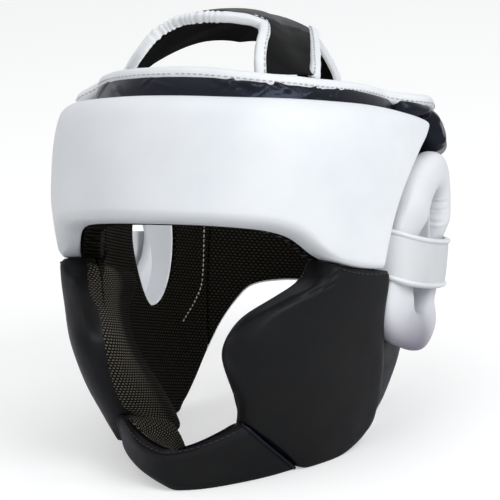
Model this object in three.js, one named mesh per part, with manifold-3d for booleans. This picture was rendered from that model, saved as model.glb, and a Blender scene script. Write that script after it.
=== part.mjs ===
import * as THREE from "three";
import { mergeVertices } from "three/addons/utils/BufferGeometryUtils.js";
import Module from "manifold-3d";

// A padded head guard with a chin bar, ear rings and an open crown.
// Millimetres. +X is the wearer's left, -Y is the front, +Z is up.
// The guard is drawn upright with z = 0 at the brow edge, then tilted back until it
// rests on its chin bar and on the two jaw edges, as it does on a table.

const TILT_DEG = 18;
const CHIN_REST = { y: -80, z: -139.5 };
const GAP = 0.35;

// Layers, measured outwards from the head.
const LINING = { inner: 0, outer: 2 };
const SHELL = { inner: 2.8, outer: 10.3 };
const PAD_SEAT = SHELL.outer + 0.95;
const FOREHEAD_THICK = 16.2;
const CHEEK_OUTER = 23.5;
const CHIN_OUTER = { middle: 21.5, ends: 15 };
const BACK_OUTER = 29;

// Heights
const SHELL_TOP = 80;
const RIM = { low: 80.35, high: 87.6, inner: -0.6, outer: 11 };
// Behind the temples the rim steps outwards, sooner on the wearer's right, and less at the back.
const RIM_JOG = { left: [80, 95], right: [58, 72], temple: 20, back: 15 };
const FOREHEAD_TOP = { front: 68, side: 72.5 };
const LEG_LOW = -17;
const DOME = { base: 88, rise: 35.5, halfWidth: 69, front: 87, back: 93, square: 1.85 };
// The crown is full at the front and slopes away over the sides.
const CROWN_FULLNESS = { front: 2.5, side: 1.2 };
const STRAP = { inner: -3.5, outer: 6.5 };
const LOWER_BINDING_TALL = 3.6;

// Angles round the head in degrees, 0 at the front and 90 at the wearer's left ear.
const FRONT_END = 65.7;
const SIDE = { start: 66.1, end: 130.5 };
const CHIN_SEAM = { top: 38, foot: 61, high: -101 };
const BACK_START = 130.9;
const TEMPLE_START = 80;

const EAR = { y: 28, z: -2, halfLong: 18, halfTall: 36 };
const RING = { y: 29, z: -2, halfLong: 28, halfTall: 46, across: 11, deep: 8.4, lean: 7 };
const BRIDGE = { low: -24, high: 4, thick: 1.8, bead: 1.3 };

// The head inside the guard by height: half width, depth to the front and to the back, and
// how square the front of the section is (2 is an ellipse).
const BACK_SQUARE = 2.2;
const HEAD_FORM = [
  { z: -165, halfWidth: 40, front: 54, back: 62, square: 1.5 },
  { z: -140, halfWidth: 44, front: 61, back: 74, square: 1.65 },
  { z: -120, halfWidth: 50, front: 69, back: 83, square: 1.6 },
  { z: -104, halfWidth: 56.5, front: 84, back: 89, square: 1.55 },
  { z: -85, halfWidth: 64.5, front: 101, back: 95, square: 1.57 },
  { z: -60, halfWidth: 72.5, front: 113, back: 100, square: 1.64 },
  { z: -20, halfWidth: 78, front: 103, back: 104, square: 1.86 },
  { z: 20, halfWidth: 79, front: 99, back: 105, square: 2.05 },
  { z: 55, halfWidth: 77, front: 95, back: 102, square: 2.15 },
  { z: 88, halfWidth: 69, front: 83, back: 92, square: 2.15 },
  { z: 100, halfWidth: 66, front: 79, back: 88, square: 2.15 },
];

// The face opening's edge on the cheek: the angle of the cheek pad's front at each height.
const CHEEK_FRONT = [
  { z: -125, angle: 38 },
  { z: -101, angle: 38 },
  { z: -86, angle: 36 },
  { z: -62, angle: 33 },
  { z: -46, angle: 39 },
  { z: -30, angle: 51 },
  { z: -17, angle: 58 },
];

// The rear edge of the cheek pad at each height.
const CHEEK_REAR = [
  { z: -125, angle: 108 },
  { z: -95, angle: 104 },
  { z: -75, angle: 93 },
  { z: -57, angle: 83 },
  { z: -17, angle: 77 },
];

// The lower edge behind the jaw, from the jaw angle up to the nape.
const NAPE_EDGE = [
  { angle: 110, z: -110 },
  { angle: 117, z: -100 },
  { angle: 124, z: -85 },
  { angle: 131, z: -62 },
  { angle: 137, z: -43 },
  { angle: 143, z: -30 },
  { angle: 150, z: -21 },
  { angle: 164, z: -18 },
  { angle: 180, z: -18 },
];

const WHITE = { color: 0xe6eaee, roughness: 0.42, metalness: 0 };
const BLACK = { color: 0x24242a, roughness: 0.45, metalness: 0 };
const MESH = { color: 0x17170f, roughness: 0.8, metalness: 0 };

const wasm = await Module();
wasm.setup();

const guard = new THREE.Group();
guard.name = "guard";

function radians(degrees) {
  return (degrees * Math.PI) / 180;
}

function lerp(a, b, k) {
  return a + (b - a) * k;
}

function smooth(from, to, value) {
  const k = Math.min(1, Math.max(0, (value - from) / (to - from)));
  return k * k * (3 - 2 * k);
}

// A quarter-round edge: 0 on the border, 1 once the border is a radius away.
function rounded(distance, radius) {
  const k = 1 - Math.min(1, Math.max(0, distance / radius));
  return Math.sqrt(1 - k * k);
}

function squared(value, square) {
  return Math.sign(value) * Math.abs(value) ** (2 / square);
}

// Smooth reading of one column of a table, along another column that rises.
function read(table, key, column, value) {
  const last = table.length - 1;
  let i = 0;
  while (i < last - 1 && value > table[i + 1][key]) i += 1;
  const p = [i - 1, i, i + 1, i + 2].map((n) => table[Math.min(last, Math.max(0, n))]);
  const span = p[2][key] - p[1][key];
  const k = Math.min(1, Math.max(0, (value - p[1][key]) / span));
  const slope = (a, b) => (b[key] === a[key] ? 0 : ((b[column] - a[column]) / (b[key] - a[key])) * span);
  const m1 = slope(p[0], p[2]);
  const m2 = slope(p[1], p[3]);
  const k2 = k * k;
  const k3 = k2 * k;
  const start = (2 * k3 - 3 * k2 + 1) * p[1][column] + (k3 - 2 * k2 + k) * m1;
  return start + (3 * k2 - 2 * k3) * p[2][column] + (k3 - k2) * m2;
}

// The section is as square as the table says before the ears, and rounder behind them.
function squareAt(rear, z) {
  return rear < 0 ? read(HEAD_FORM, "z", "square", z) : BACK_SQUARE;
}

// A point on the head form, at an angle, a height and a distance out from it.
function onHead(angle, z, out) {
  const t = radians(angle);
  const deep = Math.cos(t) > 0 ? "front" : "back";
  const across = read(HEAD_FORM, "z", "halfWidth", z) + out;
  const along = read(HEAD_FORM, "z", deep, z) + out;
  const square = squareAt(-Math.cos(t), z);
  return [across * squared(Math.sin(t), square), -along * squared(Math.cos(t), square), z];
}

function crownFullness(x, y) {
  const across = Math.abs(x / DOME.halfWidth) ** DOME.square;
  const along = Math.abs(y / (y < 0 ? DOME.front : DOME.back)) ** DOME.square;
  const sideways = across / Math.max(1e-6, across + along);
  return lerp(CROWN_FULLNESS.front, CROWN_FULLNESS.side, smooth(0, 0.7, sideways));
}

// A point on the crown: climb is 0 at the rim and 1 at the top.
function onDome(angle, climb, out) {
  const t = radians(angle);
  const up = radians(90 * climb);
  const deep = Math.cos(t) > 0 ? DOME.front : DOME.back;
  const ring = Math.cos(up);
  const x = (DOME.halfWidth + out) * ring * squared(Math.sin(t), DOME.square);
  const y = -(deep + out) * ring * squared(Math.cos(t), DOME.square);
  return [x, y, DOME.base + (DOME.rise + out) * Math.sin(up) ** (2 / crownFullness(x, y))];
}

// The crown point above a place in plan, at a distance out.
function overPlan(x, y, out) {
  const deep = (y < 0 ? DOME.front : DOME.back) + out;
  const across = DOME.halfWidth + out;
  const ring = (Math.abs(x / across) ** DOME.square + Math.abs(y / deep) ** DOME.square) ** (1 / DOME.square);
  const rise = Math.max(0, 1 - Math.min(1, ring) ** 2) ** (1 / crownFullness(x, y));
  return [x, y, DOME.base + (DOME.rise + out) * rise];
}

// Height of the table under a place, in the upright frame.
function restHeight(y) {
  return CHIN_REST.z + Math.tan(radians(TILT_DEG)) * (y - CHIN_REST.y);
}

// The lower edge: along the table to the jaw angle, then up to the nape.
function jawEdge(angle, out) {
  const a = Math.abs(angle);
  let z = -115;
  for (let n = 0; n < 8; n += 1) z = restHeight(onHead(a, z, out)[1]);
  return a < NAPE_EDGE[0].angle ? z : Math.max(z, read(NAPE_EDGE, "angle", "z", a));
}

function browEdge(angle) {
  const a = Math.abs(angle);
  return LEG_LOW * (0.65 * smooth(44, 56, a) + 0.35 * smooth(54, 68, a));
}

function foreheadEnd(z) {
  return 77 + (z - LEG_LOW) * 0.27;
}

// A closed solid from an inner and an outer sheet over the same grid.
function slab(columns, rows, place, ring = false) {
  const points = [];
  const faces = [];
  const wide = ring ? columns.length : columns.length - 1;
  const index = (side, i, j) => (side * columns.length + (i % columns.length)) * rows.length + j;
  for (const side of [0, 1]) {
    for (const u of columns) {
      for (const v of rows) points.push(...place(u, v, side));
    }
  }
  const quad = (a, b, c, d) => faces.push(a, b, c, a, c, d);
  const top = rows.length - 1;
  for (let i = 0; i < wide; i += 1) {
    for (let j = 0; j < top; j += 1) {
      quad(index(1, i, j), index(1, i + 1, j), index(1, i + 1, j + 1), index(1, i, j + 1));
      quad(index(0, i, j), index(0, i, j + 1), index(0, i + 1, j + 1), index(0, i + 1, j));
    }
    quad(index(1, i, 0), index(0, i, 0), index(0, i + 1, 0), index(1, i + 1, 0));
    quad(index(1, i, top), index(1, i + 1, top), index(0, i + 1, top), index(0, i, top));
  }
  for (let j = 0; j < top && !ring; j += 1) {
    quad(index(1, 0, j), index(1, 0, j + 1), index(0, 0, j + 1), index(0, 0, j));
    quad(index(1, wide, j), index(0, wide, j), index(0, wide, j + 1), index(1, wide, j + 1));
  }
  return asGeometry(points, faces);
}

// A soft bead swept along a path: each station gives its middle, the two ways across and half sizes.
function bead(stations, closed = false, sides = 6) {
  const points = [];
  const faces = [];
  const count = stations.length;
  for (const { at, across, out, halfWide, halfDeep } of stations) {
    for (let k = 0; k < sides; k += 1) {
      const turn = (2 * Math.PI * k) / sides;
      const a = halfWide * Math.cos(turn);
      const b = halfDeep * Math.sin(turn);
      points.push(...at.map((value, n) => value + across[n] * a + out[n] * b));
    }
  }
  const spans = closed ? count : count - 1;
  for (let i = 0; i < spans; i += 1) {
    for (let k = 0; k < sides; k += 1) {
      const a = i * sides + k;
      const b = i * sides + ((k + 1) % sides);
      const c = ((i + 1) % count) * sides + ((k + 1) % sides);
      const d = ((i + 1) % count) * sides + k;
      faces.push(a, b, c, a, c, d);
    }
  }
  for (let k = 1; k < sides - 1 && !closed; k += 1) {
    const end = (count - 1) * sides;
    faces.push(0, k + 1, k, end, end + k, end + k + 1);
  }
  return facingOut(asGeometry(points, faces));
}

// Turns a closed surface round if its faces point inwards.
function facingOut(geometry) {
  const p = geometry.getAttribute("position");
  const order = geometry.index.array;
  const corner = (n) => new THREE.Vector3().fromBufferAttribute(p, order[n]);
  let volume = 0;
  for (let i = 0; i < order.length; i += 3) volume += corner(i).dot(corner(i + 1).cross(corner(i + 2)));
  if (volume < 0) {
    for (let i = 0; i < order.length; i += 3) [order[i + 1], order[i + 2]] = [order[i + 2], order[i + 1]];
  }
  return geometry;
}

function asGeometry(points, faces) {
  const geometry = new THREE.BufferGeometry();
  geometry.setAttribute("position", new THREE.Float32BufferAttribute(points, 3));
  geometry.setIndex(faces);
  return geometry;
}

function toSolid(geometry) {
  const plain = new THREE.BufferGeometry();
  plain.setAttribute("position", geometry.getAttribute("position").clone());
  if (geometry.index) plain.setIndex(geometry.index.clone());
  const merged = mergeVertices(plain, 1e-4);
  const triVerts = new Uint32Array(merged.index.array);
  return new wasm.Manifold(
    new wasm.Mesh({ numProp: 3, vertProperties: merged.getAttribute("position").array, triVerts }),
  );
}

function toGeometry(solid) {
  const mesh = solid.getMesh();
  return asGeometry(Array.from(mesh.vertProperties), Array.from(mesh.triVerts));
}

// The mirror image of a piece, for the wearer's right.
function mirrored(geometry) {
  const copy = geometry.clone();
  copy.scale(-1, 1, 1);
  const order = copy.index.array;
  for (let i = 0; i < order.length; i += 3) [order[i + 1], order[i + 2]] = [order[i + 2], order[i + 1]];
  return copy;
}

// What stands on the table is pressed flat there.
function flattened(geometry) {
  const slope = Math.tan(radians(TILT_DEG));
  const solid = toSolid(geometry);
  const turn = radians(TILT_DEG);
  const normal = [0, -Math.sin(turn), Math.cos(turn)];
  const level = (CHIN_REST.z - slope * CHIN_REST.y) * Math.cos(turn);
  return toGeometry(solid.trimByPlane(normal, level));
}

function add(name, geometry, look) {
  const shown = geometry.index ? geometry.toNonIndexed() : geometry;
  shown.computeVertexNormals();
  const mesh = new THREE.Mesh(shown, new THREE.MeshStandardMaterial(look));
  mesh.name = name;
  guard.add(mesh);
}

function addPair(name, geometry, look) {
  add(`${name}_left`, geometry, look);
  add(`${name}_right`, mirrored(geometry), look);
}

// Even steps from 0 to 1, with extra ones close to the ends for a rounded border.
function steps(count, ...nearEnd) {
  const inner = Array.from({ length: count + 1 }, (_, i) => i / count);
  const all = [...inner, ...nearEnd, ...nearEnd.map((k) => 1 - k)];
  return [...new Set(all)].sort((a, b) => a - b);
}

function earHole(grow) {
  const shape = new THREE.Shape();
  shape.absellipse(0, 0, EAR.halfLong + grow, EAR.halfTall + grow, 0, 2 * Math.PI, false, 0);
  const hole = new THREE.ExtrudeGeometry(shape, { depth: 60, bevelEnabled: false, curveSegments: 12 });
  hole.rotateX(Math.PI / 2).rotateZ(Math.PI / 2);
  hole.translate(50, EAR.y, EAR.z);
  return toSolid(hole);
}

// Forehead pad: a band from temple to temple, with a leg before each ear.
{
  const columns = steps(18, 0.012).map((k) => 2 * k - 1);
  const rows = [0, 0.05, 0.14, 0.3, 0.55, 0.78, 0.91, 0.97, 1];
  const place = (u, v, side) => {
    let low = 0;
    for (let n = 0; n < 6; n += 1) low = browEdge(u * foreheadEnd(low));
    const high = lerp(FOREHEAD_TOP.front, FOREHEAD_TOP.side, smooth(0.15, 0.85, Math.abs(u)));
    const z = lerp(low, high, v);
    const angle = u * foreheadEnd(z);
    const tall = high - low;
    const leg = smooth(0.62, 0.78, Math.abs(u));
    const edge = Math.min(
      Math.max(leg * 0.7, rounded(v * tall, lerp(7, 3.5, leg))),
      rounded((1 - v) * tall, 11),
      rounded((1 - Math.abs(u)) * 175, 7),
    );
    const thick = FOREHEAD_THICK * (0.3 + 0.7 * edge);
    return onHead(angle, z, PAD_SEAT + side * thick);
  };
  add("forehead_pad", slab(columns, rows, place), WHITE);
}

// The black band behind it, and the lining under the band.
for (const [name, layer, look, high] of [
  ["front_shell", SHELL, BLACK, SHELL_TOP],
  ["lining_front", LINING, MESH, SHELL_TOP],
]) {
  const place = (u, v, side) => {
    const angle = FRONT_END * (2 * u - 1);
    return onHead(angle, lerp(browEdge(angle), high, v), side ? layer.outer : layer.inner);
  };
  add(name, slab(steps(12), steps(3), place), look);
}

// Side panels from the temple to the jaw, each with its ear hole.
{
  const place = (u, v, side) => {
    const angle = lerp(SIDE.start, SIDE.end, u);
    const out = side ? SHELL.outer : SHELL.inner;
    const low = jawEdge(angle, out) + LOWER_BINDING_TALL + 3 * GAP;
    return onHead(angle, lerp(low, SHELL_TOP, v), out);
  };
  const wall = toSolid(slab(steps(10), steps(9), place)).subtract(earHole(0)).simplify(0.15);
  addPair("side_panel", toGeometry(wall), BLACK);
}

// Where the side lining meets the chin lining, and behind that its lower edge.
function liningLow(angle, out) {
  const jaw = Math.max(jawEdge(Math.max(angle, 62), out) + LOWER_BINDING_TALL + 5 * GAP, -119);
  return lerp(CHIN_SEAM.high - 0.5, jaw, smooth(CHIN_SEAM.top, SIDE.start, angle));
}

// The side lining runs on under the cheek pad to the edge of the face opening.
{
  const rows = [0, 0.12, 0.25, 0.38, 0.5, 0.51, 0.68, 0.84, 1];
  const place = (u, v, side) => {
    const out = side ? LINING.outer : LINING.inner;
    const below = v <= 0.5;
    let angle = lerp(40, SIDE.end, u);
    let z = 0;
    for (let n = 0; n < 10; n += 1) {
      z = below
        ? lerp(liningLow(angle, out), LEG_LOW - 0.9, v * 2)
        : lerp(LEG_LOW - 0.35, SHELL_TOP, (v - 0.51) / 0.49);
      angle = lerp(below ? read(CHEEK_FRONT, "z", "angle", z) + 0.6 : SIDE.start, SIDE.end, u);
    }
    return onHead(angle, z, out);
  };
  const wall = toSolid(slab(steps(8), rows, place)).subtract(earHole(-0.6)).simplify(0.12);
  addPair("lining_side", toGeometry(wall), MESH);
}

// The padded back with its lining.
{
  const end = 360 - BACK_START;
  const place = (u, v, side) => {
    const angle = lerp(BACK_START, end, u);
    const low = jawEdge(180 - Math.abs(angle - 180), SHELL.outer) + LOWER_BINDING_TALL + GAP;
    const tall = SHELL_TOP - low;
    const edge = Math.min(
      rounded(v * tall, 12),
      rounded((1 - v) * tall, 12),
      rounded(Math.min(u, 1 - u) * 190, 20),
    );
    const out = SHELL.outer + (BACK_OUTER - SHELL.outer) * edge;
    return onHead(angle, lerp(low, SHELL_TOP, v), side ? out : SHELL.inner);
  };
  add("back_pad", slab(steps(10, 0.03), steps(4, 0.05), place), BLACK);
  const lining = (u, v, side) => {
    const angle = lerp(BACK_START, end, u);
    const low = jawEdge(180 - Math.abs(angle - 180), SHELL.outer) + LOWER_BINDING_TALL + GAP;
    return onHead(angle, lerp(low, SHELL_TOP, v), side ? LINING.outer : LINING.inner);
  };
  add("lining_back", slab(steps(10), steps(3), lining), MESH);
}

// The wing of the back pad above each ear, which runs forward over the end of the forehead pad.
{
  const place = (u, v, side) => {
    const angle = lerp(TEMPLE_START, SIDE.end, u);
    const low = lerp(FOREHEAD_TOP.side + 0.7, 55, smooth(103, 109, angle));
    const tall = SHELL_TOP - low;
    const edge = Math.min(
      rounded(v * tall + 1, 8),
      rounded((1 - v) * tall + 3, 10),
      rounded(u * 70, 12),
      rounded((1 - u) * 70, 5),
    );
    const out = PAD_SEAT + 1.5 + (BACK_OUTER - PAD_SEAT - 1.5) * edge;
    return onHead(angle, lerp(low, SHELL_TOP, v), side ? out : PAD_SEAT);
  };
  const columns = [0, 0.05, 0.15, 0.3, 0.45, 0.51, 0.57, 0.68, 0.8, 0.93, 1];
  addPair("temple_pad", slab(columns, steps(3, 0.12), place), BLACK);
}

// Cheek pads: thick cushions that reach forward beside the nose and mouth.
{
  const behind = CHIN_SEAM.foot;
  const before = [0, 0.1, 0.3, 0.55, 0.8, 1];
  const after = [0, 0.3, 0.6, 0.85, 0.95, 1];
  const columns = [...before, ...after.map((k) => 2 + k)];
  const rows = [0, 0.03, 0.1, 0.25, 0.42, 0.58, 0.74, 0.88, 0.96, 1];
  const top = LEG_LOW - GAP;
  const place = (u, v, side) => {
    const front = u < 2;
    const corner = jawEdge(behind, CHEEK_OUTER);
    let angle = front ? lerp(CHIN_SEAM.top, behind, u) : lerp(SIDE.start - 0.4, 104, u - 2);
    let z = -60;
    let low = -110;
    for (let n = 0; n < 10; n += 1) {
      low = front ? lerp(CHIN_SEAM.high, corner, u) : jawEdge(angle, CHEEK_OUTER) - 1;
      z = lerp(low, top, v);
      angle = front
        ? lerp(read(CHEEK_FRONT, "z", "angle", z), behind, u)
        : lerp(SIDE.start - 0.4, read(CHEEK_REAR, "z", "angle", z), u - 2);
    }
    const tall = top - low;
    const wide = front ? u * 45 : 60;
    const edge = Math.min(
      rounded(v * tall + 3, 12),
      Math.max(0.7, rounded((1 - v) * tall, 4)),
      rounded(wide, 13),
      rounded(front ? 60 : (3 - u) * 45, 9),
    );
    const seat = front ? LINING.outer + 3 * GAP : PAD_SEAT;
    const full = lerp(CHEEK_OUTER - 3, CHEEK_OUTER, smooth(-125, -80, z));
    const out = seat + 2.5 + (full - seat - 2.5) * edge;
    return onHead(angle, z, side ? out : seat);
  };
  addPair("cheek_pad", flattened(slab(columns, rows, place)), BLACK);
}

// Chin bar between the two cheek pads, with its lining.
{
  const columns = steps(10, 0.02).map((k) => 2 * k - 1);
  const bar = (u, v, side) => {
    const reach = lerp(CHIN_SEAM.foot - 0.8, CHIN_SEAM.top - 0.6, v);
    const angle = u * reach;
    const high = -118 + 17 * u * u - 0.4;
    const low = jawEdge(angle, CHIN_OUTER.middle) - 1.5;
    const z = lerp(low, high, v);
    const edge = Math.min(
      rounded(v * 30 + 3, 9),
      rounded((1 - v) * 26, 9),
      rounded((1 - Math.abs(u)) * 60 + 1, 6),
    );
    const seat = LINING.outer + 2 * GAP;
    const full = lerp(CHIN_OUTER.middle, CHIN_OUTER.ends, u * u);
    return onHead(angle, z, side ? seat + 3 + (full - seat - 3) * edge : seat);
  };
  add("chin_bar", flattened(slab(columns, steps(4, 0.08), bar)), BLACK);
  const lining = (u, v, side) => {
    const angle = 54 * (2 * u - 1);
    const a = Math.abs(angle);
    const out = side ? LINING.outer : LINING.inner;
    const high = a < CHIN_SEAM.top ? -118.5 + 17 * (a / CHIN_SEAM.top) ** 2 : liningLow(a, out);
    return onHead(angle, lerp(jawEdge(a, out) + 2, high - 2, v), out);
  };
  add("lining_chin", slab(steps(10), steps(2), lining), MESH);
}

// Ear rings: oval padded tubes that stand on the side panels round the ear holes.
function ringStation(turn, grow) {
  const c = Math.cos(turn);
  const s = Math.sin(turn);
  const lean = radians(RING.lean);
  const flat = [(RING.halfLong + grow) * c, (RING.halfTall + grow) * s];
  const y = RING.y + flat[0] + Math.sin(lean) * flat[1];
  const z = RING.z + Math.cos(lean) * flat[1];
  return { y, z, c, s };
}

function sideX(y, z, out) {
  const along = read(HEAD_FORM, "z", y > 0 ? "back" : "front", z) + out;
  const across = read(HEAD_FORM, "z", "halfWidth", z) + out;
  const square = squareAt(y, z);
  return across * (1 - Math.min(0.99, Math.abs(y) / along) ** square) ** (1 / square);
}

{
  const stations = [];
  const count = 24;
  for (let i = 0; i < count; i += 1) {
    const turn = (2 * Math.PI * i) / count;
    const { y, z, c, s } = ringStation(turn, 0);
    const rear = smooth(-10, 60, y);
    const held = smooth(BRIDGE.low - 16, BRIDGE.low, z) - smooth(BRIDGE.high, BRIDGE.high + 16, z);
    const deep = RING.deep * (1 - 0.28 * held);
    const out = PAD_SEAT + 0.5 + deep + 0.8 * rear;
    const x = sideX(y, z, out);
    const slant = (sideX(y + 1, z, out) - sideX(y - 1, z, out)) / 2;
    const long = Math.hypot(1, slant * 0.6);
    stations.push({
      at: [x, y, z],
      across: [(slant * 0.6 * c) / long, c, s],
      out: [1 / long, (-slant * 0.6) / long, 0],
      halfWide: RING.across,
      halfDeep: deep,
    });
  }
  addPair("ear_ring", bead(stations, true, 8), WHITE);
}

// The piped band that goes round the ring and across the ear hole.
{
  const wrap = [
    { y: -11.3, out: 12 },
    { y: -11.5, out: 17 },
    { y: -9.5, out: 21.5 },
    { y: -3, out: 24.6 },
    { y: 14, out: 25.2 },
    { y: 32, out: 25.8 },
    { y: 50, out: 26.4 },
    { y: 62, out: 26.6 },
    { y: 69, out: 24.6 },
    { y: 72, out: 20.5 },
    { y: 72, out: 14 },
  ];
  const rows = [0, 0.05, 0.1, 0.9, 0.95, 1];
  const place = (u, v, side) => {
    const i = Math.round(u * (wrap.length - 1));
    const z = lerp(BRIDGE.low, BRIDGE.high, v);
    const at = (n) => {
      const { y, out } = wrap[Math.min(wrap.length - 1, Math.max(0, n))];
      return [sideX(y, z, out), y];
    };
    const before = at(i - 1);
    const after = at(i + 1);
    const way = [after[0] - before[0], after[1] - before[1]];
    const long = Math.hypot(...way);
    const nearEdge = Math.min(v, 1 - v);
    const raised = nearEdge > 0.02 && nearEdge < 0.08 ? BRIDGE.bead : 0;
    const push = side ? BRIDGE.thick + raised : 0;
    const [x, y] = at(i);
    return [x + (way[1] / long) * push, y - (way[0] / long) * push, z];
  };
  addPair("ear_bridge", slab(steps(wrap.length - 1), rows, place), WHITE);
}

// A bound edge: a soft bead beside a line of edge points, on the side that beside() points to.
function boundEdge(points, outward, shift, halfWide, halfDeep) {
  return points.map((point, i) => {
    const before = points[Math.max(0, i - 1)];
    const after = points[Math.min(points.length - 1, i + 1)];
    const way = new THREE.Vector3().subVectors(after, before).normalize();
    const out = outward(point).addScaledVector(way, -outward(point).dot(way)).normalize();
    const across = new THREE.Vector3().crossVectors(way, out);
    const at = point.clone().addScaledVector(across, shift);
    return { at: at.toArray(), across: across.toArray(), out: out.toArray(), halfWide, halfDeep };
  });
}

// Rim binding: the padded white edge round the crown opening, wider behind the temples.
{
  const stations = [];
  const count = 40;
  const place = (angle) => {
    const turned = 180 - Math.abs(angle - 180);
    const wider = smooth(...(angle > 180 ? RIM_JOG.right : RIM_JOG.left), turned);
    const jog = lerp(RIM_JOG.temple, RIM_JOG.back, smooth(110, 150, turned));
    const out = (RIM.inner + RIM.outer) / 2 + jog * wider;
    return { point: onHead(angle, (RIM.low + RIM.high) / 2, out), wider };
  };
  for (let i = 0; i < count; i += 1) {
    const angle = (360 * i) / count;
    const { point, wider } = place(angle);
    const before = place((angle + 359) % 360).point;
    const after = place((angle + 1) % 360).point;
    const way = [after[0] - before[0], after[1] - before[1]];
    const long = Math.hypot(...way);
    stations.push({
      at: point,
      across: [way[1] / long, -way[0] / long, 0],
      out: [0, 0, 1],
      halfWide: (RIM.outer - RIM.inner) / 2 + wider,
      halfDeep: (RIM.high - RIM.low) / 2 / Math.cos(Math.PI / 6),
    });
  }
  add("rim_binding", bead(stations, true), WHITE);
}

// Crown strap: the dome over the head, cut away to leave two front legs and one rear leg.
const FRONT_WINDOW = { halfWide: 43, foot: 78, top: 117.5, fullness: 2.7 };
const SIDE_WINDOW = [
  { x: 66, y: -78 },
  { x: 56, y: -57 },
  { x: 51, y: -46 },
  { x: 45, y: -32 },
  { x: 37, y: -12 },
  { x: 28, y: 8 },
  { x: 19, y: 26 },
  { x: 13, y: 46 },
  { x: 11, y: 70 },
  { x: 11, y: 96 },
];
const EDGE_BINDING = { halfWide: 3.4, halfDeep: 4.6, foot: 91 };

function frontArch(turn) {
  const power = 2 / FRONT_WINDOW.fullness;
  const c = Math.cos(turn);
  const x = FRONT_WINDOW.halfWide * Math.sign(c) * Math.abs(c) ** power;
  const tall = FRONT_WINDOW.top - FRONT_WINDOW.foot;
  return { x, z: FRONT_WINDOW.foot + tall * Math.abs(Math.sin(turn)) ** power };
}

function sideEdge(k) {
  const spot = k * (SIDE_WINDOW.length - 1);
  const rows = SIDE_WINDOW.map((row, i) => ({ ...row, i }));
  return { x: read(rows, "i", "x", spot), y: read(rows, "i", "y", spot) };
}

function prism(outline, depth) {
  const shape = new THREE.Shape(outline.map(([a, b]) => new THREE.Vector2(a, b)));
  const solid = new THREE.ExtrudeGeometry(shape, { depth, bevelEnabled: false });
  solid.deleteAttribute("normal");
  solid.deleteAttribute("uv");
  return mergeVertices(solid, 1e-4);
}

// The way straight out of the crown at a point near it.
function crownOut(point) {
  const level = (x, y, z) => {
    const across = Math.abs(x / DOME.halfWidth) ** DOME.square;
    const along = Math.abs(y / (y < 0 ? DOME.front : DOME.back)) ** DOME.square;
    const up = Math.max(0, (z - DOME.base) / DOME.rise);
    return (across + along) ** (2 / DOME.square) + up ** crownFullness(x, y);
  };
  const { x, y, z } = point;
  const step = 0.2;
  return new THREE.Vector3(
    level(x + step, y, z) - level(x - step, y, z),
    level(x, y + step, z) - level(x, y - step, z),
    level(x, y, z + step) - level(x, y, z - step),
  ).normalize();
}

// The edges of the crown windows, on the middle of the strap, and the room that their binding takes.
const STRAP_MIDDLE = 3.5;

function frontWindowEdge() {
  const edge = [];
  for (let i = 0; i <= 18; i += 1) {
    const { x, z } = frontArch(lerp(0.19, Math.PI - 0.19, i / 18));
    const up = (z - DOME.base) / (DOME.rise + STRAP_MIDDLE);
    let y = -60;
    for (let n = 0; n < 12; n += 1) {
      const ring = Math.sqrt(Math.max(0, 1 - up ** crownFullness(x, y)));
      const left = ring ** DOME.square - Math.abs(x / (DOME.halfWidth + STRAP_MIDDLE)) ** DOME.square;
      y = -(DOME.front + STRAP_MIDDLE) * Math.max(0, left) ** (1 / DOME.square);
    }
    edge.push(new THREE.Vector3(x, y, z));
  }
  return edge;
}

function sideWindowEdge() {
  const along = (k) => new THREE.Vector3(...overPlan(sideEdge(k).x, sideEdge(k).y, STRAP_MIDDLE));
  let start = 0;
  let end = 1;
  while (along(start).z < EDGE_BINDING.foot) start += 0.002;
  while (along(end).z < EDGE_BINDING.foot) end -= 0.002;
  return steps(15, 0.02).map((k) => along(lerp(start, end, k)));
}

function windowBead(edge, side, room, deep) {
  const shift = side * (EDGE_BINDING.halfWide + GAP);
  return bead(boundEdge(edge, crownOut, shift, EDGE_BINDING.halfWide + room, deep));
}

{
  const ringSteps = steps(28).slice(0, 28);
  const climb = [0, 0.2, 0.42, 0.64, 0.84, 0.985];
  const shape = (u, v, side) => onDome(360 * u, v, side ? STRAP.outer : STRAP.inner);
  const arch = Array.from({ length: 15 }, (_, i) => frontArch((Math.PI * i) / 14));
  const front = prism(arch.map(({ x, z }) => [x, z]), 90);
  front.rotateX(Math.PI / 2).translate(0, -30, 0);
  const edge = Array.from({ length: 13 }, (_, i) => sideEdge(i / 12)).map(({ x, y }) => [x, y]);
  const side = prism([[120, -120], [120, 120], [11, 120], ...edge.reverse()], 80);
  side.translate(0, 0, 70);
  const crown = toSolid(slab(ringSteps, climb, shape, true))
    .add(toSolid(crownPlug()))
    .subtract(toSolid(facingOut(front)))
    .subtract(toSolid(facingOut(side)))
    .subtract(toSolid(mirrored(facingOut(side))))
    .subtract(toSolid(windowBead(frontWindowEdge(), -1, GAP, 14)))
    .subtract(toSolid(windowBead(sideWindowEdge(), 1, GAP, 14)))
    .subtract(toSolid(mirrored(windowBead(sideWindowEdge(), 1, GAP, 14))));
  const bodies = crown.simplify(0.45).decompose();
  const strap = bodies.reduce((a, b) => (b.volume() > a.volume() ? b : a));
  add("crown_strap", toGeometry(strap), BLACK);
  add("window_binding_front", windowBead(frontWindowEdge(), -1, 0, EDGE_BINDING.halfDeep), WHITE);
  addPair("window_binding", windowBead(sideWindowEdge(), 1, 0, EDGE_BINDING.halfDeep), WHITE);
}

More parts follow.
